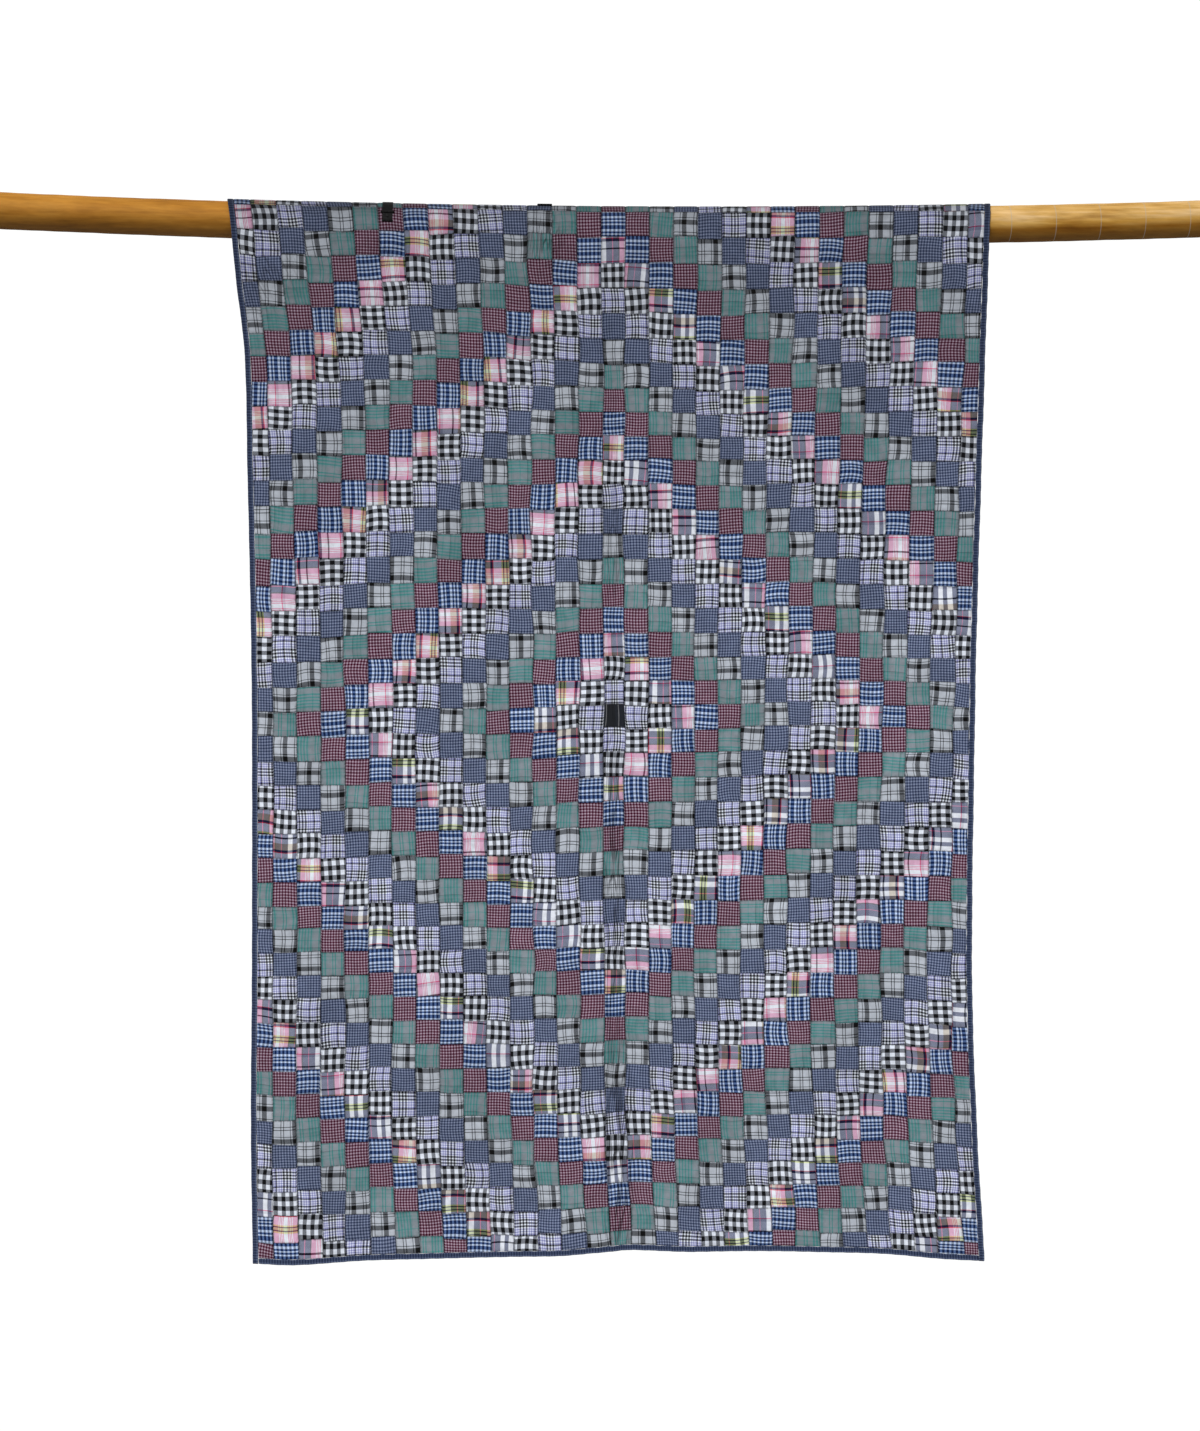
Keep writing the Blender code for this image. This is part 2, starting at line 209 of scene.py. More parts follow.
# How far these differences may go, and how they change along the cloth
MOST_DROP = 0.0044
DROP_ON_POLE = 0.4
ROWS_PER_RADIAN = 7
WAVE_LENGTHS = (0.62, 0.31, 0.17)
WAVES_START = 0.1
PUFF_LIMITS = (0.4, 1.6)
SHADE_LIMITS = (0.88, 1.1)

# The cloth's surface over its middle: the patches puff a little less than in the CAD part, which leaves room
# for the creases, and on the pole they are pressed flatter
PUFF = 0.0022
LOWEST_HEIGHT = -0.0008
HIGHEST_ON_POLE = 0.0022
HIGHER_BELOW = 0.0040
LEAVING_POLE = 0.6 * TANGENT_DOWN

# Where the mesh lines of a patch lie: close together beside its seams. The back has every fourth of them.
STEPS = np.array((0.0, 0.04, 0.12, 0.28, 0.5, 0.72, 0.88, 0.96, 1.0))
BACK_EVERY = 4

# The binding: its section, its mesh, and how hand sewing and its folded ends change it
STRIP_SIDES = 18
STRIP_POWERS = (0.40, 0.50)
STRIP_STEP = 0.0045
STRIP_EASE = 0.0006
STRIP_WAVES = (0.21, 0.083, 0.034, 0.015)
STRIP_WANDER = 0.00022
STRIP_SWELL = 0.05
STRIP_END = 0.004
STRIP_END_HEIGHT = 0.35
STRIP_NARROWING = 0.1

# The pole's surface: its mesh, how far its ends are worn, as pairs of the distance from the end and the wear,
# and how uneven the wood is, with its waves as pairs of their length and their turns round the pole
POLE_SIDES = 72
POLE_RINGS = 300
POLE_END = 0.012
POLE_END_PROFILE = ((0.0, 0.0016), (0.00048, 0.0006), (0.0016, 0.0))
POLE_SHAVED = 0.0001
POLE_UNEVEN = 0.00012
MOST_UNEVEN = 0.0004
POLE_WAVES = ((0.9, 1), (0.43, 2), (0.21, 3), (0.11, 2), (0.052, 4))

# Random phases run from 0 to here, just under a full turn
PHASES = 6.28

# Colours of the yarns
WHITE = "e0e6f2"
SOFT_WHITE = "e0e4ee"
BLUE_WHITE = "ecf2ff"
BLACK = "0c0d12"
LILAC = "787ab0"
PALE_LILAC = "d6daee"
NAVY_SHADE = "161c3c"
NAVY = "0c2048"
PINK = "c83468"
PALE_PINK = "cc6c98"
TEAL = "22807c"
DULL_TEAL = "6e868c"
TEAL_GREY = "818a91"

# The fabrics: stripes of yarn that repeat, as widths in millimetres and colours. One set of stripes varies
# across the cloth and one down it. Where two stripes cross, the eye sees a mix of both.
GINGHAM_ONE = ((8.2, BLACK), (8.2, WHITE))
GINGHAM_OTHER = ((10.3, BLACK), (10.3, WHITE))
GLEN_STRIPES = (
    *(3 * ((3.6, BLACK), (3.0, WHITE))),
    *(2 * ((2.4, LILAC), (2.4, PALE_LILAC))), (2.4, LILAC),
    (3.0, BLACK), (3.0, PALE_LILAC), *(2 * ((2.4, LILAC), (2.4, PALE_LILAC))),
)
MADRAS_ONE = (
    (9.0, SOFT_WHITE), (9.0, NAVY_SHADE), (11.0, SOFT_WHITE), (13.0, NAVY_SHADE), (1.5, PINK),
    (11.0, NAVY_SHADE), (2.6, BLACK), (10.0, PALE_PINK), *(3 * ((1.6, SOFT_WHITE), (1.5, PINK))),
    (9.0, SOFT_WHITE), *(3 * ((1.5, PINK), (1.6, SOFT_WHITE))), (10.0, PALE_PINK), (2.8, BLACK),
    (11.0, NAVY_SHADE), (1.5, PINK), (13.0, NAVY_SHADE),
)
MADRAS_OTHER = (
    (13.0, "baa88c"), (5.0, "14142c"), (1.5, "d82c30"), (17.0, SOFT_WHITE), (3.0, "d0dc74"),
    (2.4, BLACK), (4.5, "b6c474"), (2.4, BLACK), (3.0, "d0dc74"), (17.0, SOFT_WHITE),
    (1.5, "d82c30"), (5.0, "14142c"), (12.0, SOFT_WHITE), (3.4, BLACK), (22.0, SOFT_WHITE),
    (1.8, "c8184c"), (6.0, "b8bcc8"), (20.0, SOFT_WHITE), (3.4, BLACK), (10.0, SOFT_WHITE),
)
BLUE_STRONG = (
    (8.2, NAVY), (4.5, BLUE_WHITE), (3.8, NAVY), (2.5, BLUE_WHITE), (4.2, NAVY), (3.0, BLUE_WHITE),
    (7.8, NAVY), (4.4, BLUE_WHITE), (3.9, NAVY), (2.6, BLUE_WHITE),
)
BLUE_WEAK = ((4.5, "102446"), (4.1, "8eaade"))
BURGUNDY_STRIPES = ((3.3, "38001a"), (2.8, "aa9aa8"))
GREEN_STRONG = (
    *(5 * ((3.2, TEAL), (3.2, DULL_TEAL))),
    (11.0, TEAL_GREY), (2.4, TEAL), (3.4, TEAL_GREY), (2.4, TEAL), (11.0, TEAL_GREY),
)
GREEN_WEAK = (
    *(3 * ((3.0, "5a7e7e"), (4.0, "74848a"))),
    (12.0, TEAL_GREY), (2.0, "4c8684"), (14.0, TEAL_GREY), (1.4, "445054"),
)
GREY_STRIPES = (
    (14.0, "b4bac4"), (2.0, "101214"), (4.0, "b4bac4"), (2.0, "101214"),
    (12.5, "b4bac4"), (2.0, "303438"), (3.0, "b4bac4"), (10.0, "08090b"),
)
SLATE_STRIPES = ((2.9, "262f48"), (2.9, "808aa6"))
BINDING_STRIPES = ((2.9, "232c44"), (2.9, "59647f"))
CENTRE_STRIPES = (
    (9.0, "262a32"), (2.0, "b4b4b6"), (15.0, "202430"), (2.0, "b4b4b6"), (15.0, "262a32"), (2.0, "b4b4b6"),
    (20.0, "222428"),
)
PLAIN_DARK = ((10.0, "26282c"),)
BACKING_STRIPES = ((10.0, "dcd5c6"),)

# Fabric of each ring of patches round the middle, by the ring's number modulo 8: the stripes that vary
# across the cloth and down it, whether they change places in the upper left and lower right, and whether
# its patches were cut anywhere in the fabric rather than from one strip
RING_FABRICS = (
    # name, vary_across, vary_down, quarter_turns, cut_anywhere
    ("slate_check", SLATE_STRIPES, SLATE_STRIPES, False, False),
    ("lilac_glen", GLEN_STRIPES, GLEN_STRIPES, False, True),
    ("black_gingham", GINGHAM_ONE, GINGHAM_OTHER, True, False),
    ("pink_madras", MADRAS_ONE, MADRAS_OTHER, True, True),
    ("blue_plaid", BLUE_WEAK, BLUE_STRONG, True, False),
    ("burgundy_check", BURGUNDY_STRIPES, BURGUNDY_STRIPES, False, False),
    ("green_plaid", GREEN_STRONG, GREEN_WEAK, True, True),
    ("grey_plaid", GREY_STRIPES, GREY_STRIPES, False, True),
)
QUARTER_TURNS = 3
CUT_ANYWHERE = 4
MADRAS = 3
CENTRE_FABRIC = len(RING_FABRICS)
BACKING_FABRIC = CENTRE_FABRIC + 1

# The rows between which the stripes change places
FIRST_TURNED_ROW = -16
LAST_TURNED_ROW = 16

# How long the strips and the loose cloth are that the patches were cut from
STRIP_REACH = 0.4
LOOSE_REACH = 0.6

# In the upper left the madras was cut from its pink part: where that starts in the fabric, and what share of
# a loose cut's reach it takes
PINK_START = 0.060
PINK_REACH = 0.06

# The cloth's painted light and shade by height: the painted shade is darkest on top of the pole, and the
# cloth is brightest half way down
PAINTED_LIGHT_LOW = -2.15
PAINTED_LIGHT_HIGH = 0.05
PAINTED_LIGHT_GAIN = 1.045
PAINTED_LIGHT_BY_HEIGHT = (
    # share_of_height, brightness
    (0.009, 0.92),
    (0.180, 0.90),
    (0.340, 1.00),
    (0.590, 1.00),
    (0.705, 0.93),
    (0.886, 0.80),
    (0.950, 0.72),
    (0.968, 0.75),
    (0.982, 0.68),
    (0.996, 0.39),
)

# The cloth's surface: one over and under of its yarn, the noise of uneven yarn along and across it, heights,
# the brightness that yarn and wear leave, and the painted shade and light on the puckers
THREAD = 0.0011
OVER_SHARE = 0.14
DISPLAY_GAMMA = 2.2
SLUB_FINE = 1100
SLUB_LONG = 90
WEAVE_HEIGHT = 0.00010
SLUB_HEIGHT = 0.00010
PUCKER_HEIGHT = 0.0028
YARN_SHADES = (0.80, 1.20)
WORN_SHADES = (0.92, 1.08)
PAINTED_PUCKER_SHADES = (0.89, 1.11)

# The patches' seams: how far they wander, as a share of a patch, and how dark the upright and the level ones
# are, from their dark thread and the painted shade beside them, as pairs of the distance from them, as such a
# share, and the brightness
SEAM_TUGS = 0.055
SIDE_SEAM_SHADE = ((0.0, 0.34), (0.018, 0.50), (0.050, 0.88), (0.10, 1.0))
END_SEAM_SHADE = ((0.0, 0.40), (0.014, 0.58), (0.040, 0.93), (0.08, 1.0))

# The stitches in the backing: how far they wander, how deep and how far round they pull the cloth in, their
# brightness, and where the dark ends
STITCH_TUGS = 0.0018
STITCH_DEPTH = 0.0024
STITCH_REACH = 0.012
STITCH_SHADE = 0.58
STITCH_WIDTHS = (0.0003, 0.0022)

# The wood's colours by its tone at the left and at the right end, and the painted shade and light on its
# round, from the underside up
WOOD_LEFT = (
    # tone, colour
    (0.30, (0.225, 0.088, 0.009, 1)),
    (0.45, (0.395, 0.162, 0.018, 1)),
    (0.58, (0.490, 0.217, 0.030, 1)),
    (0.72, (0.550, 0.262, 0.050, 1)),
)
WOOD_RIGHT = (
    # tone, colour
    (0.30, (0.400, 0.198, 0.036, 1)),
    (0.45, (0.620, 0.362, 0.102, 1)),
    (0.58, (0.750, 0.492, 0.215, 1)),
    (0.72, (0.810, 0.575, 0.310, 1)),
)
PAINTED_UNDERSIDE_SHADE = (
    # share_of_height, colour
    (0.325, (0.58, 0.40, 0.12, 1)),
    (0.475, (0.98, 0.88, 0.56, 1)),
    (0.600, (0.95, 0.95, 0.97, 1)),
)

# The wood's painted shade from the underside up to where it is painted fully lit, the stretch of the pole
# where the left colours change to the right ones, the brightness of the fine and the mottled grain, and the
# grain's heights
WOOD_PAINTED_SHADES = (0.40, 1.06)
WOOD_LIT_FROM = 0.4 * POLE_RADIUS
WOOD_CHANGE = (-0.3, 0.5)
FINE_SHADES = (0.86, 1.10)
MOTTLE_SHADES = (0.76, 1.22)
FINE_HEIGHT = 0.00012
GRAIN_HEIGHT = 0.00045

# Fine pale rings round the right end of the pole. Their line is given as pairs of a share of the pitch and
# the strength.
RING_PITCH = 0.0917
RING_SHIFT = 0.065
RING_LEAN = 0.15
RINGS_FROM = 0.80
RING_STRENGTH = 0.45
RING_COLOUR = (0.40, 0.39, 0.35, 1)
RING_LINE = ((0.0, 1), (0.008, 1), (0.014, 0), (0.99, 0), (1.0, 1))

# The photo's frame: its height in metres at the quilt, its middle, and how far away the camera stands
FRAME_HEIGHT = 2.9407
FRAME_MIDDLE = (-0.0185, -1.0041)
CAMERA_DISTANCE = 13.0
SENSOR = 36.0

FLOOR_HEIGHT = -2.75
FLOOR_REACH = 2.35

# The lights: wide ones with a direction, and an even one all round that is weaker from below, as pairs of a
# share of the height and the brightness
LIGHT_SPREAD = math.radians(35)
LIGHTS = (
    # name, direction, strength
    ("key", (-1.2, -3.8, 3.4), 2.25),
    ("back_fill", (2.6, 3.2, 1.1), 1.5),
)
BACKDROP_STRENGTH = 1.05
SURROUND_STRENGTH = 0.60
SURROUND = ((0.0, 0.14), (0.45, 0.42), (0.62, 0.76), (1.0, 1.0))

rng = np.random.default_rng(20)


def smooth_step(value):
    value = np.clip(value, 0, 1)
    return value * value * (3 - 2 * value)


def read_table(table, at, column):
    """A smooth curve through a table's column, with the table's first column as the place along it."""
    places = np.array([row[0] for row in table])
    values = np.array([row[column] for row in table])
    ahead = np.minimum(np.arange(len(table)) + 1, len(table) - 1)
    behind = np.maximum(np.arange(len(table)) - 1, 0)
    slopes = (values[ahead] - values[behind]) / (places[ahead] - places[behind])
    at = np.clip(at, places[0], places[-1])
    row = np.clip(np.searchsorted(places, at) - 1, 0, len(table) - 2)
    span = places[row + 1] - places[row]
    share = (at - places[row]) / span
    rest = 1 - share
    from_start = rest**2 * (values[row] * (1 + 2 * share) + slopes[row] * span * share)
    from_end = share**2 * (values[row + 1] * (1 + 2 * rest) - slopes[row + 1] * span * rest)
    return from_start + from_end


def pole_height(x):
    return POLE_RISE * ((x - POLE_LOW_POINT) ** 2 - POLE_LOW_POINT**2)


def sideways(across, down):
    """Where along X the places of the flat cloth come to hang."""
    middle = read_table(SIDES, down, 2)
    edge = np.where(across < 0, read_table(SIDES, down, 1), read_table(SIDES, down, 3))
    x = middle + (edge - middle) * np.abs(across) / (HALF_WIDTH + BINDING_WIDTH)
    x = x - COLUMN_CROWDING * np.sin(math.pi * across / HALF_WIDTH) * (np.abs(across) < HALF_WIDTH)
    share = across / PINCH_HALF_WIDTH
    pinch = PINCH * smooth_step((down - TANGENT_DOWN) / PINCH_STARTS)
    return x - pinch * share * np.exp(-share * share / 2)


def stands_out(across, down):
    fall = (down - TANGENT_DOWN) / HANGING
    total = np.zeros_like(fall)
    for head, foot, half_width, depth, starts in FOLDS:
        share = (across - head - (foot - head) * fall) / half_width
        grown = depth * smooth_step((down - TANGENT_DOWN) / starts) * (1 + FOLD_GROWTH * fall)
        total += grown * np.exp(-share**2)
    return total


def hung(across, down, height):
    """Where points of the flat cloth hang, as rows of x, y, z."""
    across, down, height = (np.asarray(values, float) for values in np.broadcast_arrays(across, down, height))
    x = sideways(across, down)
    axis = pole_height(x)
    angle = np.minimum(down / WRAP_RADIUS, math.pi / 2)
    radius = WRAP_RADIUS + height
    fall = np.maximum(down - TANGENT_DOWN, 0) / HANGING
    fall = fall + ROW_CROWDING * fall * (1 - fall)
    y = -radius * np.sin(angle) - np.where(down > TANGENT_DOWN, stands_out(across, down), 0)
    over_axis = np.where(angle < math.pi / 2, radius * np.cos(angle), 0)
    z = axis + over_axis - fall * (axis + read_table(HEM, across, 1))
    return np.stack([x, y, z], axis=-1)


def creased(across, down):
    """How far the small creases lift the cloth (negative: sink it)."""
    total = np.zeros_like(across)
    for crease_across, crease_down, half_length, turned, half_width, height in CREASES:
        turn = math.radians(turned)
        aside, below = across - crease_across, down - crease_down
        along = (below * math.cos(turn) + aside * math.sin(turn)) / half_length
        beside = (aside * math.cos(turn) - below * math.sin(turn)) / half_width
        total += height * np.exp(-(beside**2)) * np.exp(-(along**4))
    return total


def drifted(across, down):
    """How far the rows lie below their even places."""
    places = len(DRIFT_PLACES)
    columns = np.stack([read_table(ROW_DRIFTS, down, column + 1) for column in range(places)])
    place = (across - DRIFT_PLACES[0]) / (DRIFT_PLACES[1] - DRIFT_PLACES[0])
    place = np.clip(place, 0, places - 1.001)
    left = place.astype(int)
    share = smooth_step(place - left)
    here = np.take_along_axis(columns, left[None], 0)[0]
    there = np.take_along_axis(columns, left[None] + 1, 0)[0]
    top_fade, foot_fade = DRIFT_FADES
    ends = smooth_step((down - PANEL_TOP) / top_fade) * smooth_step((PANEL_BOTTOM - down) / foot_fade)
    return (here * (1 - share) + there * share) * ends


def seam_places():
    """The lines of the seams and of the panel's edges: places across, and places down."""
    columns = (np.arange(-LAST_COLUMN, LAST_COLUMN + 2) - 0.5) * PATCH
    columns[0], columns[-1] = -HALF_WIDTH, HALF_WIDTH
    rows = FIRST_SEAM_DOWN + (np.arange(-LAST_ROW, LAST_ROW + 2) - FIRST_WHOLE_ROW) * PATCH
    rows[0], rows[-1] = PANEL_TOP, PANEL_BOTTOM
    return columns, rows


def mesh_lines(seams):
    """The mesh lines between seams, with the patch and the step in it of each line."""
    count = len(STEPS) - 1
    lines = np.concatenate([start + (end - start) * STEPS[:-1] for start, end in zip(seams, seams[1:])])
    patch = np.repeat(np.arange(len(seams) - 1), count)
    step = np.tile(np.arange(count), len(seams) - 1)
    return np.append(lines, seams[-1]), np.append(patch, len(seams) - 2), np.append(step, count)


def seam_drops(column_patch, column_step, seam_count):
    """How far each horizontal seam lies off its line, at every upright mesh line: its own in every column."""
    columns = 2 * LAST_COLUMN + 1
    turns = np.arange(seam_count) / ROWS_PER_RADIAN
    phase = rng.uniform(0, 2 * math.pi, (columns, 1))
    slow = rng.normal(0, SLOW_DROP, (columns, 1)) * np.sin(turns + phase)
    slow = slow + rng.normal(0, SLOW_DROP, (columns, 1))
    drop = np.clip(slow + rng.normal(0, SEAM_DROP, (columns, seam_count)), -MOST_DROP, MOST_DROP)
    lean = rng.normal(0, SEAM_LEAN, (columns, seam_count))
    drop[:, [0, -1]] = lean[:, [0, -1]] = 0
    on_pole = seam_places()[1] < TANGENT_DOWN
    drop[:, on_pole] *= DROP_ON_POLE
    share = STEPS[column_step][:, None]
    at_line = drop[column_patch] + lean[column_patch] * (share - 0.5) * PATCH
    for line in range(len(STEPS) - 1, len(column_patch) - 1, len(STEPS) - 1):
        left = column_patch[line] - 1
        at_line[line] = (at_line[line] + drop[left] + lean[left] * 0.5 * PATCH) / 2
    return at_line


def seam_waves(down):
    """How far each upright seam lies off its line, at every level mesh line: a slow wave down the cloth."""
    seams = 2 * LAST_COLUMN + 2
    waves = np.zeros((seams, len(down)))
    for length in WAVE_LENGTHS:
        phase = rng.uniform(0, 2 * math.pi, (seams, 1))
        size = rng.normal(0, SEAM_WAVE, (seams, 1)) * (length / WAVE_LENGTHS[0]) ** 0.5
        waves += size * np.sin(2 * math.pi * down / length + phase)
    waves[[0, -1]] = 0
    return waves * smooth_step((down - TANGENT_DOWN) / WAVES_START)


def puffed(share):
    return 1 - (2 * share - 1) ** 4


def turned_patches(column, row):
    """Whether a patch's stripes have changed places: in the upper left and the lower right."""
    in_turned_corner = (column < 0) & (row < 0) | (column > 0) & (row > 0)
    return in_turned_corner & (row >= FIRST_TURNED_ROW) & (row <= LAST_TURNED_ROW)


def add_object(name, data):
    obj = bpy.data.objects.new(name, data)
    bpy.context.scene.collection.objects.link(obj)
    return obj


def make_mesh(name, points, faces, materials, face_material, uv_layers):
    """A smooth mesh object, with a material for each face and UVs for the corners of its faces."""
    mesh = bpy.data.meshes.new(name)
    mesh.from_pydata(points.tolist(), [], faces)
    for material in materials:
        mesh.materials.append(material)
    mesh.polygons.foreach_set("material_index", np.asarray(face_material, np.int32))
    mesh.polygons.foreach_set("use_smooth", np.ones(len(faces), bool))
    for layer, corners in uv_layers.items():
        mesh.uv_layers.new(name=layer).data.foreach_set("uv", np.asarray(corners, np.float32).ravel())
    mesh.update()
    return add_object(name, mesh)


def grid_faces(rows, columns, first=0, flipped=False):
    """The quads of a grid of points, in the order upper left, lower left, lower right, upper right."""
    corner = first + np.arange(rows - 1)[:, None] * columns + np.arange(columns - 1)
    quads = np.stack([corner, corner + columns, corner + columns + 1, corner + 1], axis=-1).reshape(-1, 4)
    return quads[:, ::-1] if flipped else quads


def rim_faces(front, back):
    """Faces that close the edge between the fine front and the coarse back, both as loops of points."""
    faces = []
    for place in range(len(back)):
        onward = (place + 1) % len(back)
        fine = [front[(place * BACK_EVERY + step) % len(front)] for step in range(BACK_EVERY + 1)]
        faces.append([*fine[::-1], back[place], back[onward]])
    return faces


def edge_loop(rows, columns, first=0):
    """The points round a grid's edge: down the left side, along the foot, up the right side and back."""
    index = first + np.arange(rows * columns).reshape(rows, columns)
    return [*index[:-1, 0], *index[-1, :-1], *index[:0:-1, -1], *index[0, :0:-1]]


def front_places(column_lines, row_lines, seam_count):
    """Where the front's mesh points lie on the flat cloth, with every seam a little off its line."""
    across_line, column_patch, column_step = column_lines
    down_line, row_patch, row_step = row_lines
    drops = seam_drops(column_patch, column_step, seam_count)
    share = STEPS[row_step]
    below = drops[:, row_patch] * (1 - share) + drops[:, row_patch + 1] * share
    waves = seam_waves(down_line)
    share = STEPS[column_step][:, None]
    aside = waves[column_patch] * (1 - share) + waves[column_patch + 1] * share
    across = (across_line[:, None] + aside).T
    down = (down_line + below).T
    return across, down + drifted(across, down)


def front_heights(across, down, column_lines, row_lines):
    """The front's height over the middle of the cloth: each patch's own puff, and the small creases."""
    _, column_patch, column_step = column_lines
    _, row_patch, row_step = row_lines
    puff = np.clip(rng.normal(1, PUFF_SPREAD, (2 * LAST_COLUMN + 1, 2 * LAST_ROW + 1)), *PUFF_LIMITS)
    lift = puffed(STEPS[column_step])[:, None] * puffed(STEPS[row_step]) * puff[column_patch][:, row_patch]
    height = (SEAM_HEIGHT + PUFF * lift).T + creased(across, down)
    off_pole = smooth_step((down - LEAVING_POLE) / LEAVING_POLE)
    return np.clip(height, LOWEST_HEIGHT, HIGHEST_ON_POLE + HIGHER_BELOW * off_pole)


def build_quilt(materials):
    """The pieced sheet: fine patches with their own seams, puff and grain in front, a plain back behind."""
    column_seams, row_seams = seam_places()
    column_lines, row_lines = mesh_lines(column_seams), mesh_lines(row_seams)
    across_line, column_patch, _ = column_lines
    down_line, row_patch, _ = row_lines
    across, down = front_places(column_lines, row_lines, len(row_seams))
    height = front_heights(across, down, column_lines, row_lines)
    front = hung(across, down, height).reshape(-1, 3)

    coarse = slice(None, None, BACK_EVERY)
    back_across, back_down = np.meshgrid(across_line[coarse], down_line[coarse])
    back = hung(back_across, back_down, -BACK_DEPTH).reshape(-1, 3)

    rows, columns = len(down_line), len(across_line)
    back_rows, back_columns = back_across.shape
    front_quads = grid_faces(rows, columns)
    back_quads = grid_faces(back_rows, back_columns, first=len(front), flipped=True)
    rims = rim_faces(edge_loop(rows, columns), edge_loop(back_rows, back_columns, first=len(front)))
    faces = front_quads.tolist() + back_quads.tolist() + rims

    column, row = np.meshgrid(column_patch[:-1] - LAST_COLUMN, row_patch[:-1] - LAST_ROW)
    ring = np.abs(column) + np.abs(row)
    fabric = np.where(ring == 0, CENTRE_FABRIC, ring % len(RING_FABRICS)).ravel()
    face_material = np.concatenate([fabric, np.full(len(back_quads) + len(rims), BACKING_FABRIC)])

    patch_uv, cloth_uv, shade = patch_corners(across_line, down_line, column_patch, row_patch, fabric)
    back_corners = np.stack([back_across, back_down], axis=-1).reshape(-1, 2)[back_quads - len(front)]
    spare = np.zeros((sum(len(face) for face in rims), 2))
    uv_layers = {
        "cloth": np.concatenate([cloth_uv.reshape(-1, 2), back_corners.reshape(-1, 2), spare]),
        "patch": np.concatenate([patch_uv.reshape(-1, 2), back_corners.reshape(-1, 2), spare]),
    }
    points = np.concatenate([front, back])
    quilt = make_mesh("quilt_cloth", points, faces, materials, face_material, uv_layers)
    shades = np.concatenate([shade, np.ones(len(faces) - len(shade))]).astype(np.float32)
    quilt.data.attributes.new("shade", "FLOAT", "FACE").data.foreach_set("value", shades)
    return quilt


def fabric_flags(fabric, flag):
    """What a column of the table says of each face's fabric: not so for the middle patch and the backing."""
    return np.array([row[flag] for row in RING_FABRICS] + [False, False])[fabric]


def patch_corners(across_line, down_line, column_patch, row_patch, fabric):
    """For the corners of every front face, the place in its patch (0 to 1) and the place in the fabric that
    it was cut from (metres). For every face, the shade of its patch."""
    columns, rows = 2 * LAST_COLUMN + 1, 2 * LAST_ROW + 1
    start_across = (np.arange(columns) - LAST_COLUMN - 0.5) * PATCH
    start_down = FIRST_SEAM_DOWN + (np.arange(rows) - LAST_ROW - FIRST_WHOLE_ROW) * PATCH
    face_column, face_row = np.meshgrid(np.arange(len(across_line) - 1), np.arange(len(down_line) - 1))
    face_column, face_row = face_column.ravel(), face_row.ravel()
    column, row = column_patch[face_column], row_patch[face_row]
    right = np.array([0, 0, 1, 1])
    lower = np.array([0, 1, 1, 0])
    share_across = (across_line[face_column[:, None] + right] - start_across[column][:, None]) / PATCH
    share_down = (down_line[face_row[:, None] + lower] - start_down[row][:, None]) / PATCH

    turn = rng.normal(0, GRAIN_TURN, (columns, rows))[column, row][:, None]
    bend_across, bend_down = rng.normal(0, GRAIN_BEND, (2, columns, rows))[:, column, row][..., None]
    flat_across = (share_across - 0.5) * PATCH + bend_across * np.sin(math.pi * share_down)
    flat_down = (share_down - 0.5) * PATCH + bend_down * np.sin(math.pi * share_across)
    cut_across = flat_across * np.cos(turn) - flat_down * np.sin(turn)
    cut_down = flat_across * np.sin(turn) + flat_down * np.cos(turn)

    turned = turned_patches(column - LAST_COLUMN, row - LAST_ROW)
    turned &= fabric_flags(fabric, QUARTER_TURNS)
    first = np.where(turned[:, None], cut_down, cut_across)
    second = np.where(turned[:, None], cut_across, cut_down)
    strip_start, loose_start, second_start = (starts[column, row] for starts in cut_starts(columns, rows))
    first_start = np.where(fabric_flags(fabric, CUT_ANYWHERE), loose_start, strip_start)
    in_pink = (fabric == MADRAS) & (column < LAST_COLUMN) & (row < LAST_ROW)
    first_start = np.where(in_pink, PINK_START + PINK_REACH * loose_start, first_start)
    first = first + np.where(fabric == CENTRE_FABRIC, 0.0, first_start)[:, None]
    second = second + np.where(fabric == CENTRE_FABRIC, 0.0, second_start)[:, None]
    shade = np.clip(rng.normal(1, SHADE_SPREAD, (columns, rows)), *SHADE_LIMITS)[column, row]
    return np.stack([share_across, share_down], -1), np.stack([first, second], -1), shade


def cut_starts(columns, rows):
    """Where in its fabric each patch was cut: along one strip for each ring and quarter, or anywhere."""
    column, row = np.meshgrid(np.arange(columns) - LAST_COLUMN, np.arange(rows) - LAST_ROW, indexing="ij")
    ring = np.abs(column) + np.abs(row)
    quarter = 2 * (column < 0) + (row < 0)
    strips = rng.uniform(0, STRIP_REACH, (ring.max() + 1, 4))
    off_grain = rng.normal(0, OFF_GRAIN, (ring.max() + 1, 4))
    along_strip = strips[ring, quarter] + off_grain[ring, quarter] * np.abs(column)
    along_strip = along_strip + rng.normal(0, CUT_SPREAD, (columns, rows))
    return along_strip, *rng.uniform(0, LOOSE_REACH, (2, columns, rows))


def tube_faces(rings, sides):
    """The quads round a tube of rings of points, ring after ring, and its two caps."""
    around = np.arange(sides)
    onward = (around + 1) % sides
    low = np.arange(rings - 1)[:, None] * sides
    quads = np.stack([low + around, low + onward, low + sides + onward, low + sides + around], -1)
    caps = [list(range(sides))[::-1], list(range((rings - 1) * sides, rings * sides))]
    return quads.reshape(-1, 4).tolist() + caps


def strip_section(width, half_height):
    """The outline of a folded binding: flat faces and round edges, as offsets across it and heights."""
    angle = np.linspace(0, 2 * math.pi, STRIP_SIDES, endpoint=False)
    across = np.sign(np.cos(angle)) * np.abs(np.cos(angle)) ** STRIP_POWERS[0] * width / 2
    height = np.sign(np.sin(angle)) * np.abs(np.sin(angle)) ** STRIP_POWERS[1] * half_height
    return across, height


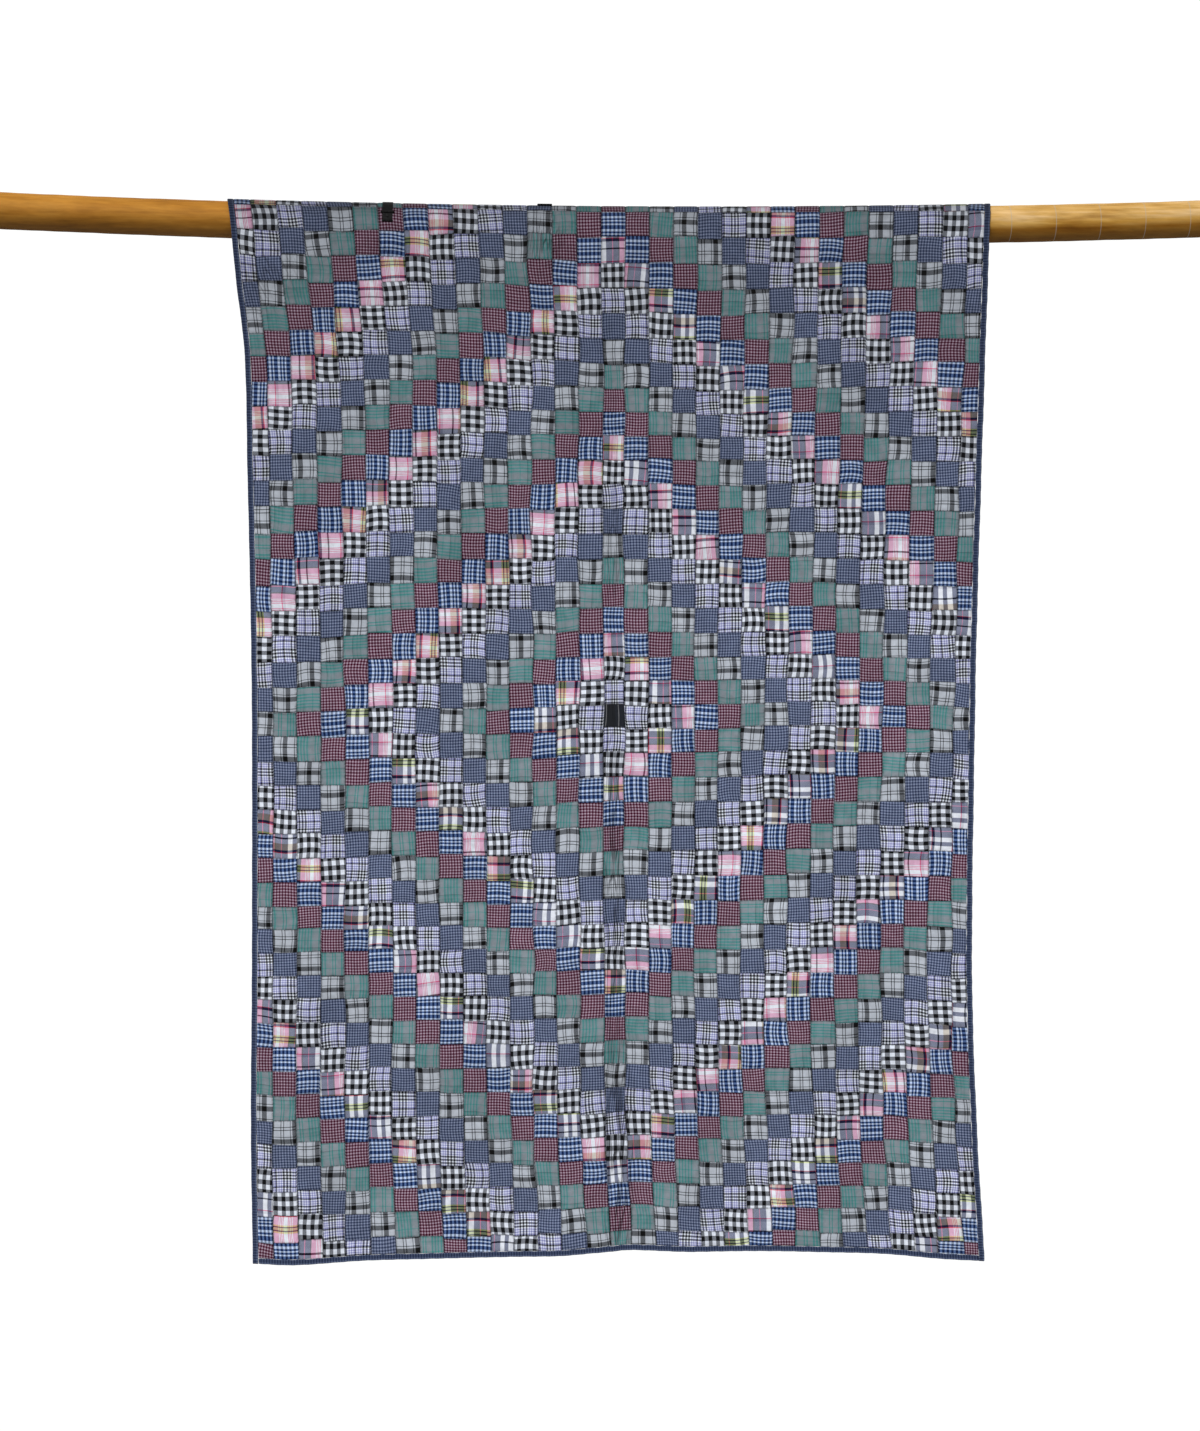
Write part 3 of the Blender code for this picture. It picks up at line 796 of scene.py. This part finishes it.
def build_binding(name, upright, middle, start, end, material):
    """A folded strip along one edge of the panel, a little uneven from hand sewing."""
    along = np.linspace(start, end, int((end - start) / STRIP_STEP))
    offset, rise = strip_section(BINDING_WIDTH - STRIP_EASE, BINDING_HALF)
    wave = np.zeros_like(along)
    swell = np.ones_like(along)
    for length in STRIP_WAVES:
        turns = 2 * math.pi * along / length
        wave += rng.normal(0, STRIP_WANDER) * np.sin(turns + rng.uniform(0, PHASES))
        swell += STRIP_SWELL * np.sin(turns + rng.uniform(0, PHASES))
    ends = smooth_step((along - start) / STRIP_END) * smooth_step((end - along) / STRIP_END)
    section = np.maximum(ends, STRIP_END_HEIGHT)[:, None]
    beside = middle + wave[:, None] + offset * (1 - STRIP_NARROWING * (1 - section))
    heights = rise * swell[:, None] * section
    along_grid = np.broadcast_to(along[:, None], beside.shape)
    across, down = (beside, along_grid) if upright else (along_grid, beside)
    points = hung(across, down, heights)
    count, sides = beside.shape
    near = np.broadcast_to(np.arange(sides) / sides * 2 * BINDING_WIDTH, (count - 1, sides))
    far = near + 2 * BINDING_WIDTH / sides
    here, there = (np.broadcast_to(ends_at[:, None], near.shape) for ends_at in (along[:-1], along[1:]))
    corners = np.stack([near, here, far, here, far, there, near, there], -1).reshape(-1, 2)
    uv = np.concatenate([corners, np.zeros((2 * sides, 2))])
    return make_tube(name, points, material, {"cloth": uv})


def outward(obj):
    """Turns a closed shape's faces outward if they all face in."""
    mesh = obj.data
    mesh.calc_loop_triangles()
    points = np.empty(len(mesh.vertices) * 3)
    mesh.vertices.foreach_get("co", points)
    triangles = np.empty(len(mesh.loop_triangles) * 3, np.int32)
    mesh.loop_triangles.foreach_get("vertices", triangles)
    corners = points.reshape(-1, 3)[triangles.reshape(-1, 3)]
    if np.linalg.det(corners).sum() < 0:
        mesh.flip_normals()
    return obj


def make_tube(name, points, material, uv_layers):
    """A closed tube through rings of points, which come as an array of rings by sides by x, y, z."""
    faces = tube_faces(*points.shape[:2])
    surfaces = np.zeros(len(faces))
    return outward(make_mesh(name, points.reshape(-1, 3), faces, [material], surfaces, uv_layers))


def build_pole(material):
    """A round pole, slightly uneven from shaving, with worn ends."""
    half = POLE_LENGTH / 2
    from_end, worn_away = np.array(POLE_END_PROFILE).T
    middle = np.linspace(-half + POLE_END, half - POLE_END, POLE_RINGS)
    along = np.concatenate([from_end - half, middle, half - from_end[::-1]])
    worn = np.interp(half - np.abs(along), from_end, worn_away)
    angle = np.linspace(0, 2 * math.pi, POLE_SIDES, endpoint=False)
    uneven = np.zeros((len(along), POLE_SIDES))
    for length, turns in POLE_WAVES:
        phase = rng.uniform(0, PHASES)
        uneven += POLE_UNEVEN * np.sin(2 * math.pi * along[:, None] / length + turns * angle + phase)
    radius = POLE_RADIUS - POLE_SHAVED + np.minimum(uneven, MOST_UNEVEN) - worn[:, None]
    x = np.broadcast_to(along[:, None], radius.shape)
    points = np.stack([x, -radius * np.sin(angle), pole_height(x) + radius * np.cos(angle)], -1)
    pole = make_tube("pole_wood", points, material, {})
    for cap in (-2, -1):
        pole.data.polygons[cap].use_smooth = False
    return pole


def build_bar(name, across, angle, length, thickness, material):
    """A small round bar with domed ends that lies across a clip, at an angle over the top of the pole."""
    dome = np.linspace(0, math.pi / 2, DOME_RINGS)
    ends = length / 2 - thickness * (1 - np.sin(dome))
    along = np.concatenate([-ends[::-1], ends])
    size = thickness * np.concatenate([np.cos(dome)[::-1], np.cos(dome)])
    around = np.linspace(0, 2 * math.pi, BAR_SIDES, endpoint=False)
    x = across + np.broadcast_to(along[:, None], (len(along), BAR_SIDES))
    out = CLIP_RADIUS + size[:, None] * np.cos(around)
    aside = size[:, None] * np.sin(around)
    y = -out * math.sin(angle) - aside * math.cos(angle)
    z = pole_height(x) + out * math.cos(angle) - aside * math.sin(angle)
    return make_tube(name, np.stack([x, y, z], axis=-1), material, {})


def feed(tree, socket, value):
    if isinstance(value, bpy.types.NodeSocket):
        tree.links.new(value, socket)
    else:
        socket.default_value = value


def new_node(tree, kind, inputs):
    """A new shader node with these inputs: numbers are set, and sockets are linked."""
    node = tree.nodes.new("ShaderNode" + kind)
    for name, value in inputs.items():
        feed(tree, node.inputs[name], value)
    return node


def arithmetic(tree, operation, *values):
    node = tree.nodes.new("ShaderNodeMath")
    node.operation = operation
    for socket, value in zip(node.inputs, values):
        feed(tree, socket, value)
    return node.outputs[0]


def product(tree, first, *others):
    for other in others:
        first = arithmetic(tree, "MULTIPLY", first, other)
    return first


def mixed(tree, blend, factor, first, second):
    node = tree.nodes.new("ShaderNodeMix")
    node.data_type = "RGBA"
    node.blend_type = blend
    for name, value in (("Factor_Float", factor), ("A_Color", first), ("B_Color", second)):
        socket = next(socket for socket in node.inputs if socket.identifier == name)
        feed(tree, socket, value)
    return next(socket for socket in node.outputs if socket.identifier == "Result_Color")


def noise(tree, coordinates, scale, detail=2.0, roughness=0.5):
    inputs = {"Vector": coordinates, "Scale": scale, "Detail": detail, "Roughness": roughness}
    return new_node(tree, "TexNoise", inputs).outputs[0]


def stretched(tree, coordinates, scale):
    return new_node(tree, "Mapping", {"Vector": coordinates, "Scale": scale}).outputs[0]


def placed(tree, coordinates, middle, turned, size):
    """Coordinates seen from a middle, turned about Y in degrees, and measured in units of a size."""
    rotation = (0, math.radians(turned), 0)
    inputs = {"Vector": coordinates, "Location": middle, "Rotation": rotation, "Scale": size}
    node = new_node(tree, "Mapping", inputs)
    node.vector_type = "TEXTURE"
    return node.outputs[0]


def ranged(tree, value, low, high, start=0.0, end=1.0):
    """The value, read as running from start to end, spread from low to high and held there."""
    inputs = {"Value": value, "From Min": start, "From Max": end, "To Min": low, "To Max": high}
    return new_node(tree, "MapRange", inputs).outputs[0]


def raw_colour(code):
    return (*(int(code[place : place + 2], 16) / 255 for place in (0, 2, 4)), 1)


def ramp(tree, value, stops, interpolation):
    """A colour ramp through stops of (place, colour)."""
    node = tree.nodes.new("ShaderNodeValToRGB")
    feed(tree, node.inputs["Fac"], value)
    node.color_ramp.interpolation = interpolation
    elements = node.color_ramp.elements
    elements.remove(elements[1])
    for number, (place, colour) in enumerate(stops):
        element = elements.new(place) if number else elements[0]
        element.position = place
        element.color = colour
    return node.outputs[0]


def grey_ramp(tree, value, stops):
    """A ramp of greys through stops of (place, brightness)."""
    return ramp(tree, value, [(place, (grey, grey, grey, 1)) for place, grey in stops], "LINEAR")


def stripes(tree, place, widths_and_colours):
    """The yarn's colour at a place, in metres, along stripes that repeat."""
    period = sum(width for width, _ in widths_and_colours)
    share = arithmetic(tree, "FRACT", arithmetic(tree, "MULTIPLY", place, 1000 / period))
    stops = []
    start = 0.0
    for width, colour in widths_and_colours:
        stops.append((start / period, raw_colour(colour)))
        start += width
    return ramp(tree, share, stops, "CONSTANT")


def new_material(name):
    material = bpy.data.materials.new(name)
    material.use_nodes = True
    tree = material.node_tree
    return material, tree, tree.nodes["Principled BSDF"]


def parts(tree, vector):
    """A vector's x, y and z."""
    return tuple(new_node(tree, "SeparateXYZ", {"Vector": vector}).outputs)


def object_places(tree):
    """The place in the object's own space, as a vector and as x, y and z."""
    body = tree.nodes.new("ShaderNodeTexCoord").outputs["Object"]
    return body, *parts(tree, body)


def uv_places(tree, layer):
    """The place on a UV layer, as a vector and as its two numbers."""
    node = tree.nodes.new("ShaderNodeUVMap")
    node.uv_map = layer
    return node.outputs[0], *parts(tree, node.outputs[0])[:2]


def brightened(tree, colour, value):
    return new_node(tree, "HueSaturation", {"Color": colour, "Value": value}).outputs[0]


def bumped(tree, shader, height, distance=1.0):
    """Bumps of this height, in units of the distance."""
    node = new_node(tree, "Bump", {"Strength": 1.0, "Distance": distance, "Height": height})
    tree.links.new(node.outputs[0], shader.inputs["Normal"])


def surfaced(tree, shader, colour, roughness, specular):
    tree.links.new(colour, shader.inputs["Base Color"])
    tree.links.new(roughness, shader.inputs["Roughness"])
    shader.inputs["Specular IOR Level"].default_value = specular


def dragged(tree, body):
    """How deep the fine wrinkles sink where the cloth is dragged, as heights of 0 or less."""
    total = 0.0
    for x, z, reach_across, reach_down, turned, apart, depth in DRAGS:
        spacing = (apart, 1, WRINKLE_LENGTH * apart)
        wrinkle = noise(tree, placed(tree, body, (x, 0, z), turned, spacing), scale=1.0, detail=1.0)
        away = tree.nodes.new("ShaderNodeVectorMath")
        away.operation = "LENGTH"
        feed(tree, away.inputs[0], placed(tree, body, (x, 0, z), 0, (reach_across, ANY_DEPTH, reach_down)))
        strength = ranged(tree, away.outputs["Value"], depth, 0.0)
        from_crease = arithmetic(tree, "ABSOLUTE", arithmetic(tree, "SUBTRACT", wrinkle, 0.5))
        flat = arithmetic(tree, "MINIMUM", product(tree, from_crease, WRINKLE_SHARPNESS), 1.0)
        total = arithmetic(tree, "MULTIPLY_ADD", arithmetic(tree, "SUBTRACT", flat, 1.0), strength, total)
    return total


def woven(tree, first, second, vary_across, vary_down):
    """The colour of two sets of striped yarns that cross over and under, and the height of that weave."""
    turns = 2 * math.pi / THREAD
    waves = [arithmetic(tree, "SINE", product(tree, place, turns)) for place in (first, second)]
    weave = product(tree, *waves)
    over = arithmetic(tree, "MULTIPLY_ADD", weave, OVER_SHARE, 0.5)
    colour = mixed(tree, "MIX", over, stripes(tree, first, vary_across), stripes(tree, second, vary_down))
    return new_node(tree, "Gamma", {"Color": colour, "Gamma": DISPLAY_GAMMA}).outputs[0], weave


def pieced(tree, body, colour, puckers):
    """Patches sewn together: seams that wander, puckers beside them, and wrinkles where the cloth drags,
    with painted shade in the seams, on the puckers and in the wrinkles' hollows.
    """
    _, patch_across, patch_down = uv_places(tree, "patch")
    tugs = ranged(tree, noise(tree, body, scale=190.0, roughness=0.6), -SEAM_TUGS, SEAM_TUGS)
    to_sides = arithmetic(tree, "ADD", arithmetic(tree, "PINGPONG", patch_across, 0.5), tugs)
    to_ends = arithmetic(tree, "ADD", arithmetic(tree, "PINGPONG", patch_down, 0.5), tugs)
    # Dark thread in the seams, with painted shade beside them
    side_seam_shade, end_seam_shade = grey_ramp(tree, to_sides, SIDE_SEAM_SHADE), grey_ramp(tree, to_ends, END_SEAM_SHADE)
    colour = mixed(tree, "MULTIPLY", 1.0, colour, mixed(tree, "MULTIPLY", 1.0, side_seam_shade, end_seam_shade))
    near_seam = ranged(tree, arithmetic(tree, "MINIMUM", to_sides, to_ends), 1.0, 0.35, end=0.25)
    wrinkles = dragged(tree, body)
    # Painted shade in the wrinkles' hollows
    painted_hollow_shade = ranged(tree, wrinkles, PAINTED_HOLLOW_SHADE, 1.0, -HOLLOW_DEPTH, 0.0)
    # Painted shade and light on the puckers
    painted_pucker_shade = ranged(tree, puckers, *PAINTED_PUCKER_SHADES, 0.3, 0.7)
    own_shade = tree.nodes.new("ShaderNodeAttribute")
    own_shade.attribute_name = "shade"
    shade = product(tree, own_shade.outputs["Fac"], painted_hollow_shade, painted_pucker_shade)
    return colour, shade, product(tree, puckers, near_seam), wrinkles


def quilted(tree, body, colour):
    """The backing: a plain cloth that stitches pull in along the seams of the patches in front."""
    _, across, down = uv_places(tree, "patch")
    half = PATCH / 2
    to_sides = arithmetic(tree, "PINGPONG", arithmetic(tree, "ADD", across, half), half)
    to_ends = arithmetic(tree, "PINGPONG", arithmetic(tree, "SUBTRACT", down, FIRST_SEAM_DOWN), half)
    tugs = ranged(tree, noise(tree, body, scale=90.0, roughness=0.6), -STITCH_TUGS, STITCH_TUGS)
    to_seam = arithmetic(tree, "ADD", arithmetic(tree, "MINIMUM", to_sides, to_ends), tugs)
    stitched = ranged(tree, to_seam, STITCH_SHADE, 1.0, *STITCH_WIDTHS)
    pulled_in = ranged(tree, to_seam, -STITCH_DEPTH, 0.0, end=STITCH_REACH)
    return mixed(tree, "MULTIPLY", 1.0, colour, stitched), pulled_in


def cloth_material(name, vary_across, vary_down, sewn):
    """Woven cotton with uneven yarn and worn nap, sewn as patches, as the backing or as the binding."""
    material, tree, shader = new_material(name)
    place, first, second = uv_places(tree, "cloth")
    colour, weave = woven(tree, first, second, vary_across, vary_down)
    body, _, _, up = object_places(tree)
    slubs = noise(tree, stretched(tree, place, (SLUB_FINE, SLUB_LONG, 1)), scale=1.0, detail=1.0)
    cross_slubs = noise(tree, stretched(tree, place, (SLUB_LONG, SLUB_FINE, 1)), scale=1.0, detail=1.0)
    uneven = ranged(tree, arithmetic(tree, "ADD", slubs, cross_slubs), *YARN_SHADES, end=2.0)
    worn = ranged(tree, noise(tree, body, scale=9.0, detail=3.0), *WORN_SHADES)
    # Painted light and shade by height on every cloth: darkest on top of the pole, brightest half way down
    painted_light_by_height = grey_ramp(tree, ranged(tree, up, 0.0, 1.0, PAINTED_LIGHT_LOW, PAINTED_LIGHT_HIGH), PAINTED_LIGHT_BY_HEIGHT)
    value = product(tree, uneven, worn, product(tree, painted_light_by_height, PAINTED_LIGHT_GAIN))
    puckers = noise(tree, body, scale=62.0, roughness=0.6)
    height = arithmetic(tree, "MULTIPLY_ADD", weave, WEAVE_HEIGHT, product(tree, slubs, SLUB_HEIGHT))
    if sewn == "patches":
        colour, shade, puckers, wrinkles = pieced(tree, body, colour, puckers)
        value = product(tree, value, shade)
        height = arithmetic(tree, "ADD", height, wrinkles)
    elif sewn == "backing":
        colour, pulled_in = quilted(tree, body, colour)
        height = arithmetic(tree, "ADD", height, pulled_in)
    height = arithmetic(tree, "MULTIPLY_ADD", puckers, PUCKER_HEIGHT, height)
    surfaced(tree, shader, brightened(tree, colour, value), ranged(tree, slubs, 0.78, 0.96), specular=0.2)
    bumped(tree, shader, height)
    return material


def grained(tree, coordinates, along, across, detail=2.0, roughness=0.5):
    """Noise drawn out along the pole: how fine it is along it and across it."""
    return noise(tree, stretched(tree, coordinates, (along, across, across)), 1.0, detail, roughness)


def wood_material():
    """Oiled wood with long wavy grain, redder on the left and paler with fine rings on the right."""
    material, tree, shader = new_material("pole_wood_grain")
    body, along, out, up = object_places(tree)
    wander = grained(tree, body, along=5.0, across=14.0)
    grain = grained(tree, body, along=9.0, across=130.0, detail=5.0, roughness=0.6)
    fine = grained(tree, body, along=40.0, across=900.0)
    mottle = grained(tree, placed(tree, body, (0, 0, 0), 8, (1, 1, 1)), along=26.0, across=110.0, detail=3.0)
    tone = arithmetic(tree, "MULTIPLY_ADD", wander, 0.50, product(tree, grain, 0.50))
    left, right = (ramp(tree, tone, stops, "LINEAR") for stops in (WOOD_LEFT, WOOD_RIGHT))

    from_low = arithmetic(tree, "SUBTRACT", along, POLE_LOW_POINT)
    bow = product(tree, from_low, from_low, POLE_RISE)
    over_axis = arithmetic(tree, "ADD", arithmetic(tree, "SUBTRACT", up, bow), POLE_RISE * POLE_LOW_POINT**2)
    # Painted shade on the underside of the wood and painted light on its top
    painted_light = ranged(tree, over_axis, *WOOD_PAINTED_SHADES, -POLE_RADIUS, WOOD_LIT_FROM)
    painted_shade_below = ramp(tree, ranged(tree, over_axis, 0.0, 1.0, -POLE_RADIUS, POLE_RADIUS), PAINTED_UNDERSIDE_SHADE, "LINEAR")
    right = mixed(tree, "MULTIPLY", 1.0, right, painted_shade_below)
    wood = mixed(tree, "MIX", ranged(tree, along, 0.0, 1.0, *WOOD_CHANGE), left, right)
    streaks = product(tree, ranged(tree, fine, *FINE_SHADES), ranged(tree, mottle, *MOTTLE_SHADES))
    wood = brightened(tree, wood, product(tree, streaks, painted_light))

    bent = arithmetic(tree, "MULTIPLY_ADD", out, RING_LEAN, along)
    ring_share = arithmetic(tree, "FRACT", arithmetic(tree, "MULTIPLY_ADD", bent, 1 / RING_PITCH, RING_SHIFT))
    on_right = arithmetic(tree, "GREATER_THAN", along, RINGS_FROM)
    ring_strength = product(tree, grey_ramp(tree, ring_share, RING_LINE), on_right, RING_STRENGTH)
    ringed = mixed(tree, "MIX", ring_strength, wood, RING_COLOUR)
    surfaced(tree, shader, ringed, ranged(tree, grain, 0.50, 0.72), specular=0.12)
    fine_height = product(tree, fine, FINE_HEIGHT)
    bumped(tree, shader, arithmetic(tree, "MULTIPLY_ADD", grain, GRAIN_HEIGHT, fine_height))
    return material


def clip_material():
    """Black enamel on spring steel, scuffed grey here and there."""
    material, tree, shader = new_material("clip_black_enamel")
    body = object_places(tree)[0]
    scuffs = noise(tree, body, scale=260.0, detail=4.0, roughness=0.7)
    clouds = noise(tree, body, scale=45.0)
    colour = grey_ramp(tree, scuffs, ((0.0, 0.003), (0.56, 0.005), (0.72, 0.025)))
    surfaced(tree, shader, colour, ranged(tree, clouds, 0.45, 0.70), specular=0.08)
    bumped(tree, shader, scuffs, SCUFF_DEPTH)
    return material


def floor_material():
    material, tree, shader = new_material("studio_floor")
    clouds = noise(tree, object_places(tree)[0], scale=3.0)
    colour = grey_ramp(tree, clouds, ((0.3, 0.66), (0.7, 0.71)))
    surfaced(tree, shader, colour, ranged(tree, clouds, 0.80, 0.92), specular=0.5)
    return material


def build_floor():
    corners = [(x, y, FLOOR_HEIGHT) for x, y in ((-1, -1), (1, -1), (1, 1), (-1, 1))]
    points = np.array(corners) * (FLOOR_REACH, FLOOR_REACH, 1)
    make_mesh("floor", points, [[0, 1, 2, 3]], [floor_material()], [0], {})


def wide_light(name, direction, strength):
    """A broad soft light, as from a very large screen that stands in this direction."""
    light = bpy.data.lights.new(name, "SUN")
    light.angle = LIGHT_SPREAD
    light.energy = strength
    obj = add_object(name, light)
    obj.location = direction
    obj.rotation_euler = Vector(direction).to_track_quat("Z", "Y").to_euler()


def light_scene():
    """A white background, even light from all round, a key light in front and a fill light behind."""
    scene = bpy.context.scene
    scene.view_settings.view_transform = "Standard"
    world = bpy.data.worlds.new("studio")
    scene.world = world
    world.use_nodes = True
    tree = world.node_tree
    shown = tree.nodes["Background"]
    shown.inputs["Color"].default_value = (1, 1, 1, 1)
    shown.inputs["Strength"].default_value = BACKDROP_STRENGTH
    _, _, up = parts(tree, tree.nodes.new("ShaderNodeTexCoord").outputs["Generated"])
    brightness = grey_ramp(tree, ranged(tree, up, 0.0, 1.0, -1.0, 1.0), SURROUND)
    around = new_node(tree, "Background", {"Color": brightness, "Strength": SURROUND_STRENGTH})
    seen = tree.nodes.new("ShaderNodeLightPath").outputs["Is Camera Ray"]
    blend = new_node(tree, "MixShader", {0: seen, 1: around.outputs[0], 2: shown.outputs[0]})
    tree.links.new(blend.outputs[0], tree.nodes["World Output"].inputs["Surface"])
    for name, direction, strength in LIGHTS:
        wide_light(name, direction, strength)


def place_camera():
    camera = bpy.data.cameras.new("photo_camera")
    camera.sensor_fit = "AUTO"
    camera.sensor_width = SENSOR
    camera.lens = SENSOR * CAMERA_DISTANCE / FRAME_HEIGHT
    camera.clip_start = 0.5
    camera.clip_end = 60
    obj = add_object("photo_camera", camera)
    obj.location = (FRAME_MIDDLE[0], -CAMERA_DISTANCE, FRAME_MIDDLE[1])
    obj.rotation_euler = (math.pi / 2, 0, 0)
    bpy.context.scene.camera = obj


def declare(piece, node):
    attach(piece, "root")
    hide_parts(node)


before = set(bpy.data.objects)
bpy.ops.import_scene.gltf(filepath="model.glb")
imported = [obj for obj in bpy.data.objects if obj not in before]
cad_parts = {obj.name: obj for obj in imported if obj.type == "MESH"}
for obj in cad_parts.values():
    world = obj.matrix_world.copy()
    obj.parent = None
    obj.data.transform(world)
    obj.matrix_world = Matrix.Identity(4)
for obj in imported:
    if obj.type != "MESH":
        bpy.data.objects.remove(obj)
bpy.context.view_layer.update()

fabrics = [cloth_material(*stripes_of, "patches") for *stripes_of, _, _ in RING_FABRICS]
fabrics.append(cloth_material("black_centre", CENTRE_STRIPES, PLAIN_DARK, "patches"))
fabrics.append(cloth_material("backing_cotton", BACKING_STRIPES, BACKING_STRIPES, "backing"))
quilt = build_quilt(fabrics)
declare(quilt, "quilt_panel")

binding_cloth = cloth_material("binding_slate_check", BINDING_STRIPES, BINDING_STRIPES, "binding")
side_middle = HALF_WIDTH + BINDING_WIDTH / 2
strips = (
    # name, upright, middle, start, end
    ("binding_left", True, -side_middle, PANEL_TOP - BINDING_WIDTH, CLOTH_BOTTOM),
    ("binding_right", True, side_middle, PANEL_TOP - BINDING_WIDTH, CLOTH_BOTTOM),
    ("binding_top", False, PANEL_TOP - BINDING_WIDTH / 2, -HALF_WIDTH, HALF_WIDTH),
    ("binding_bottom", False, PANEL_BOTTOM + BINDING_WIDTH / 2, -HALF_WIDTH, HALF_WIDTH),
)
for name, upright, middle, start, end in strips:
    strip = build_binding(name + "_cloth", upright, middle, start, end, binding_cloth)
    declare(strip, name)

pole = build_pole(wood_material())
declare(pole, "pole")

enamel = clip_material()
for name in ("clip_left", "clip_middle"):
    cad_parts[name].data.materials.clear()
    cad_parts[name].data.materials.append(enamel)

for name, across, angle, length, thickness in CLIP_BARS:
    bar = build_bar(name, across, math.radians(angle), length, thickness, enamel)
    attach(bar, "root")

build_floor()
light_scene()
place_camera()
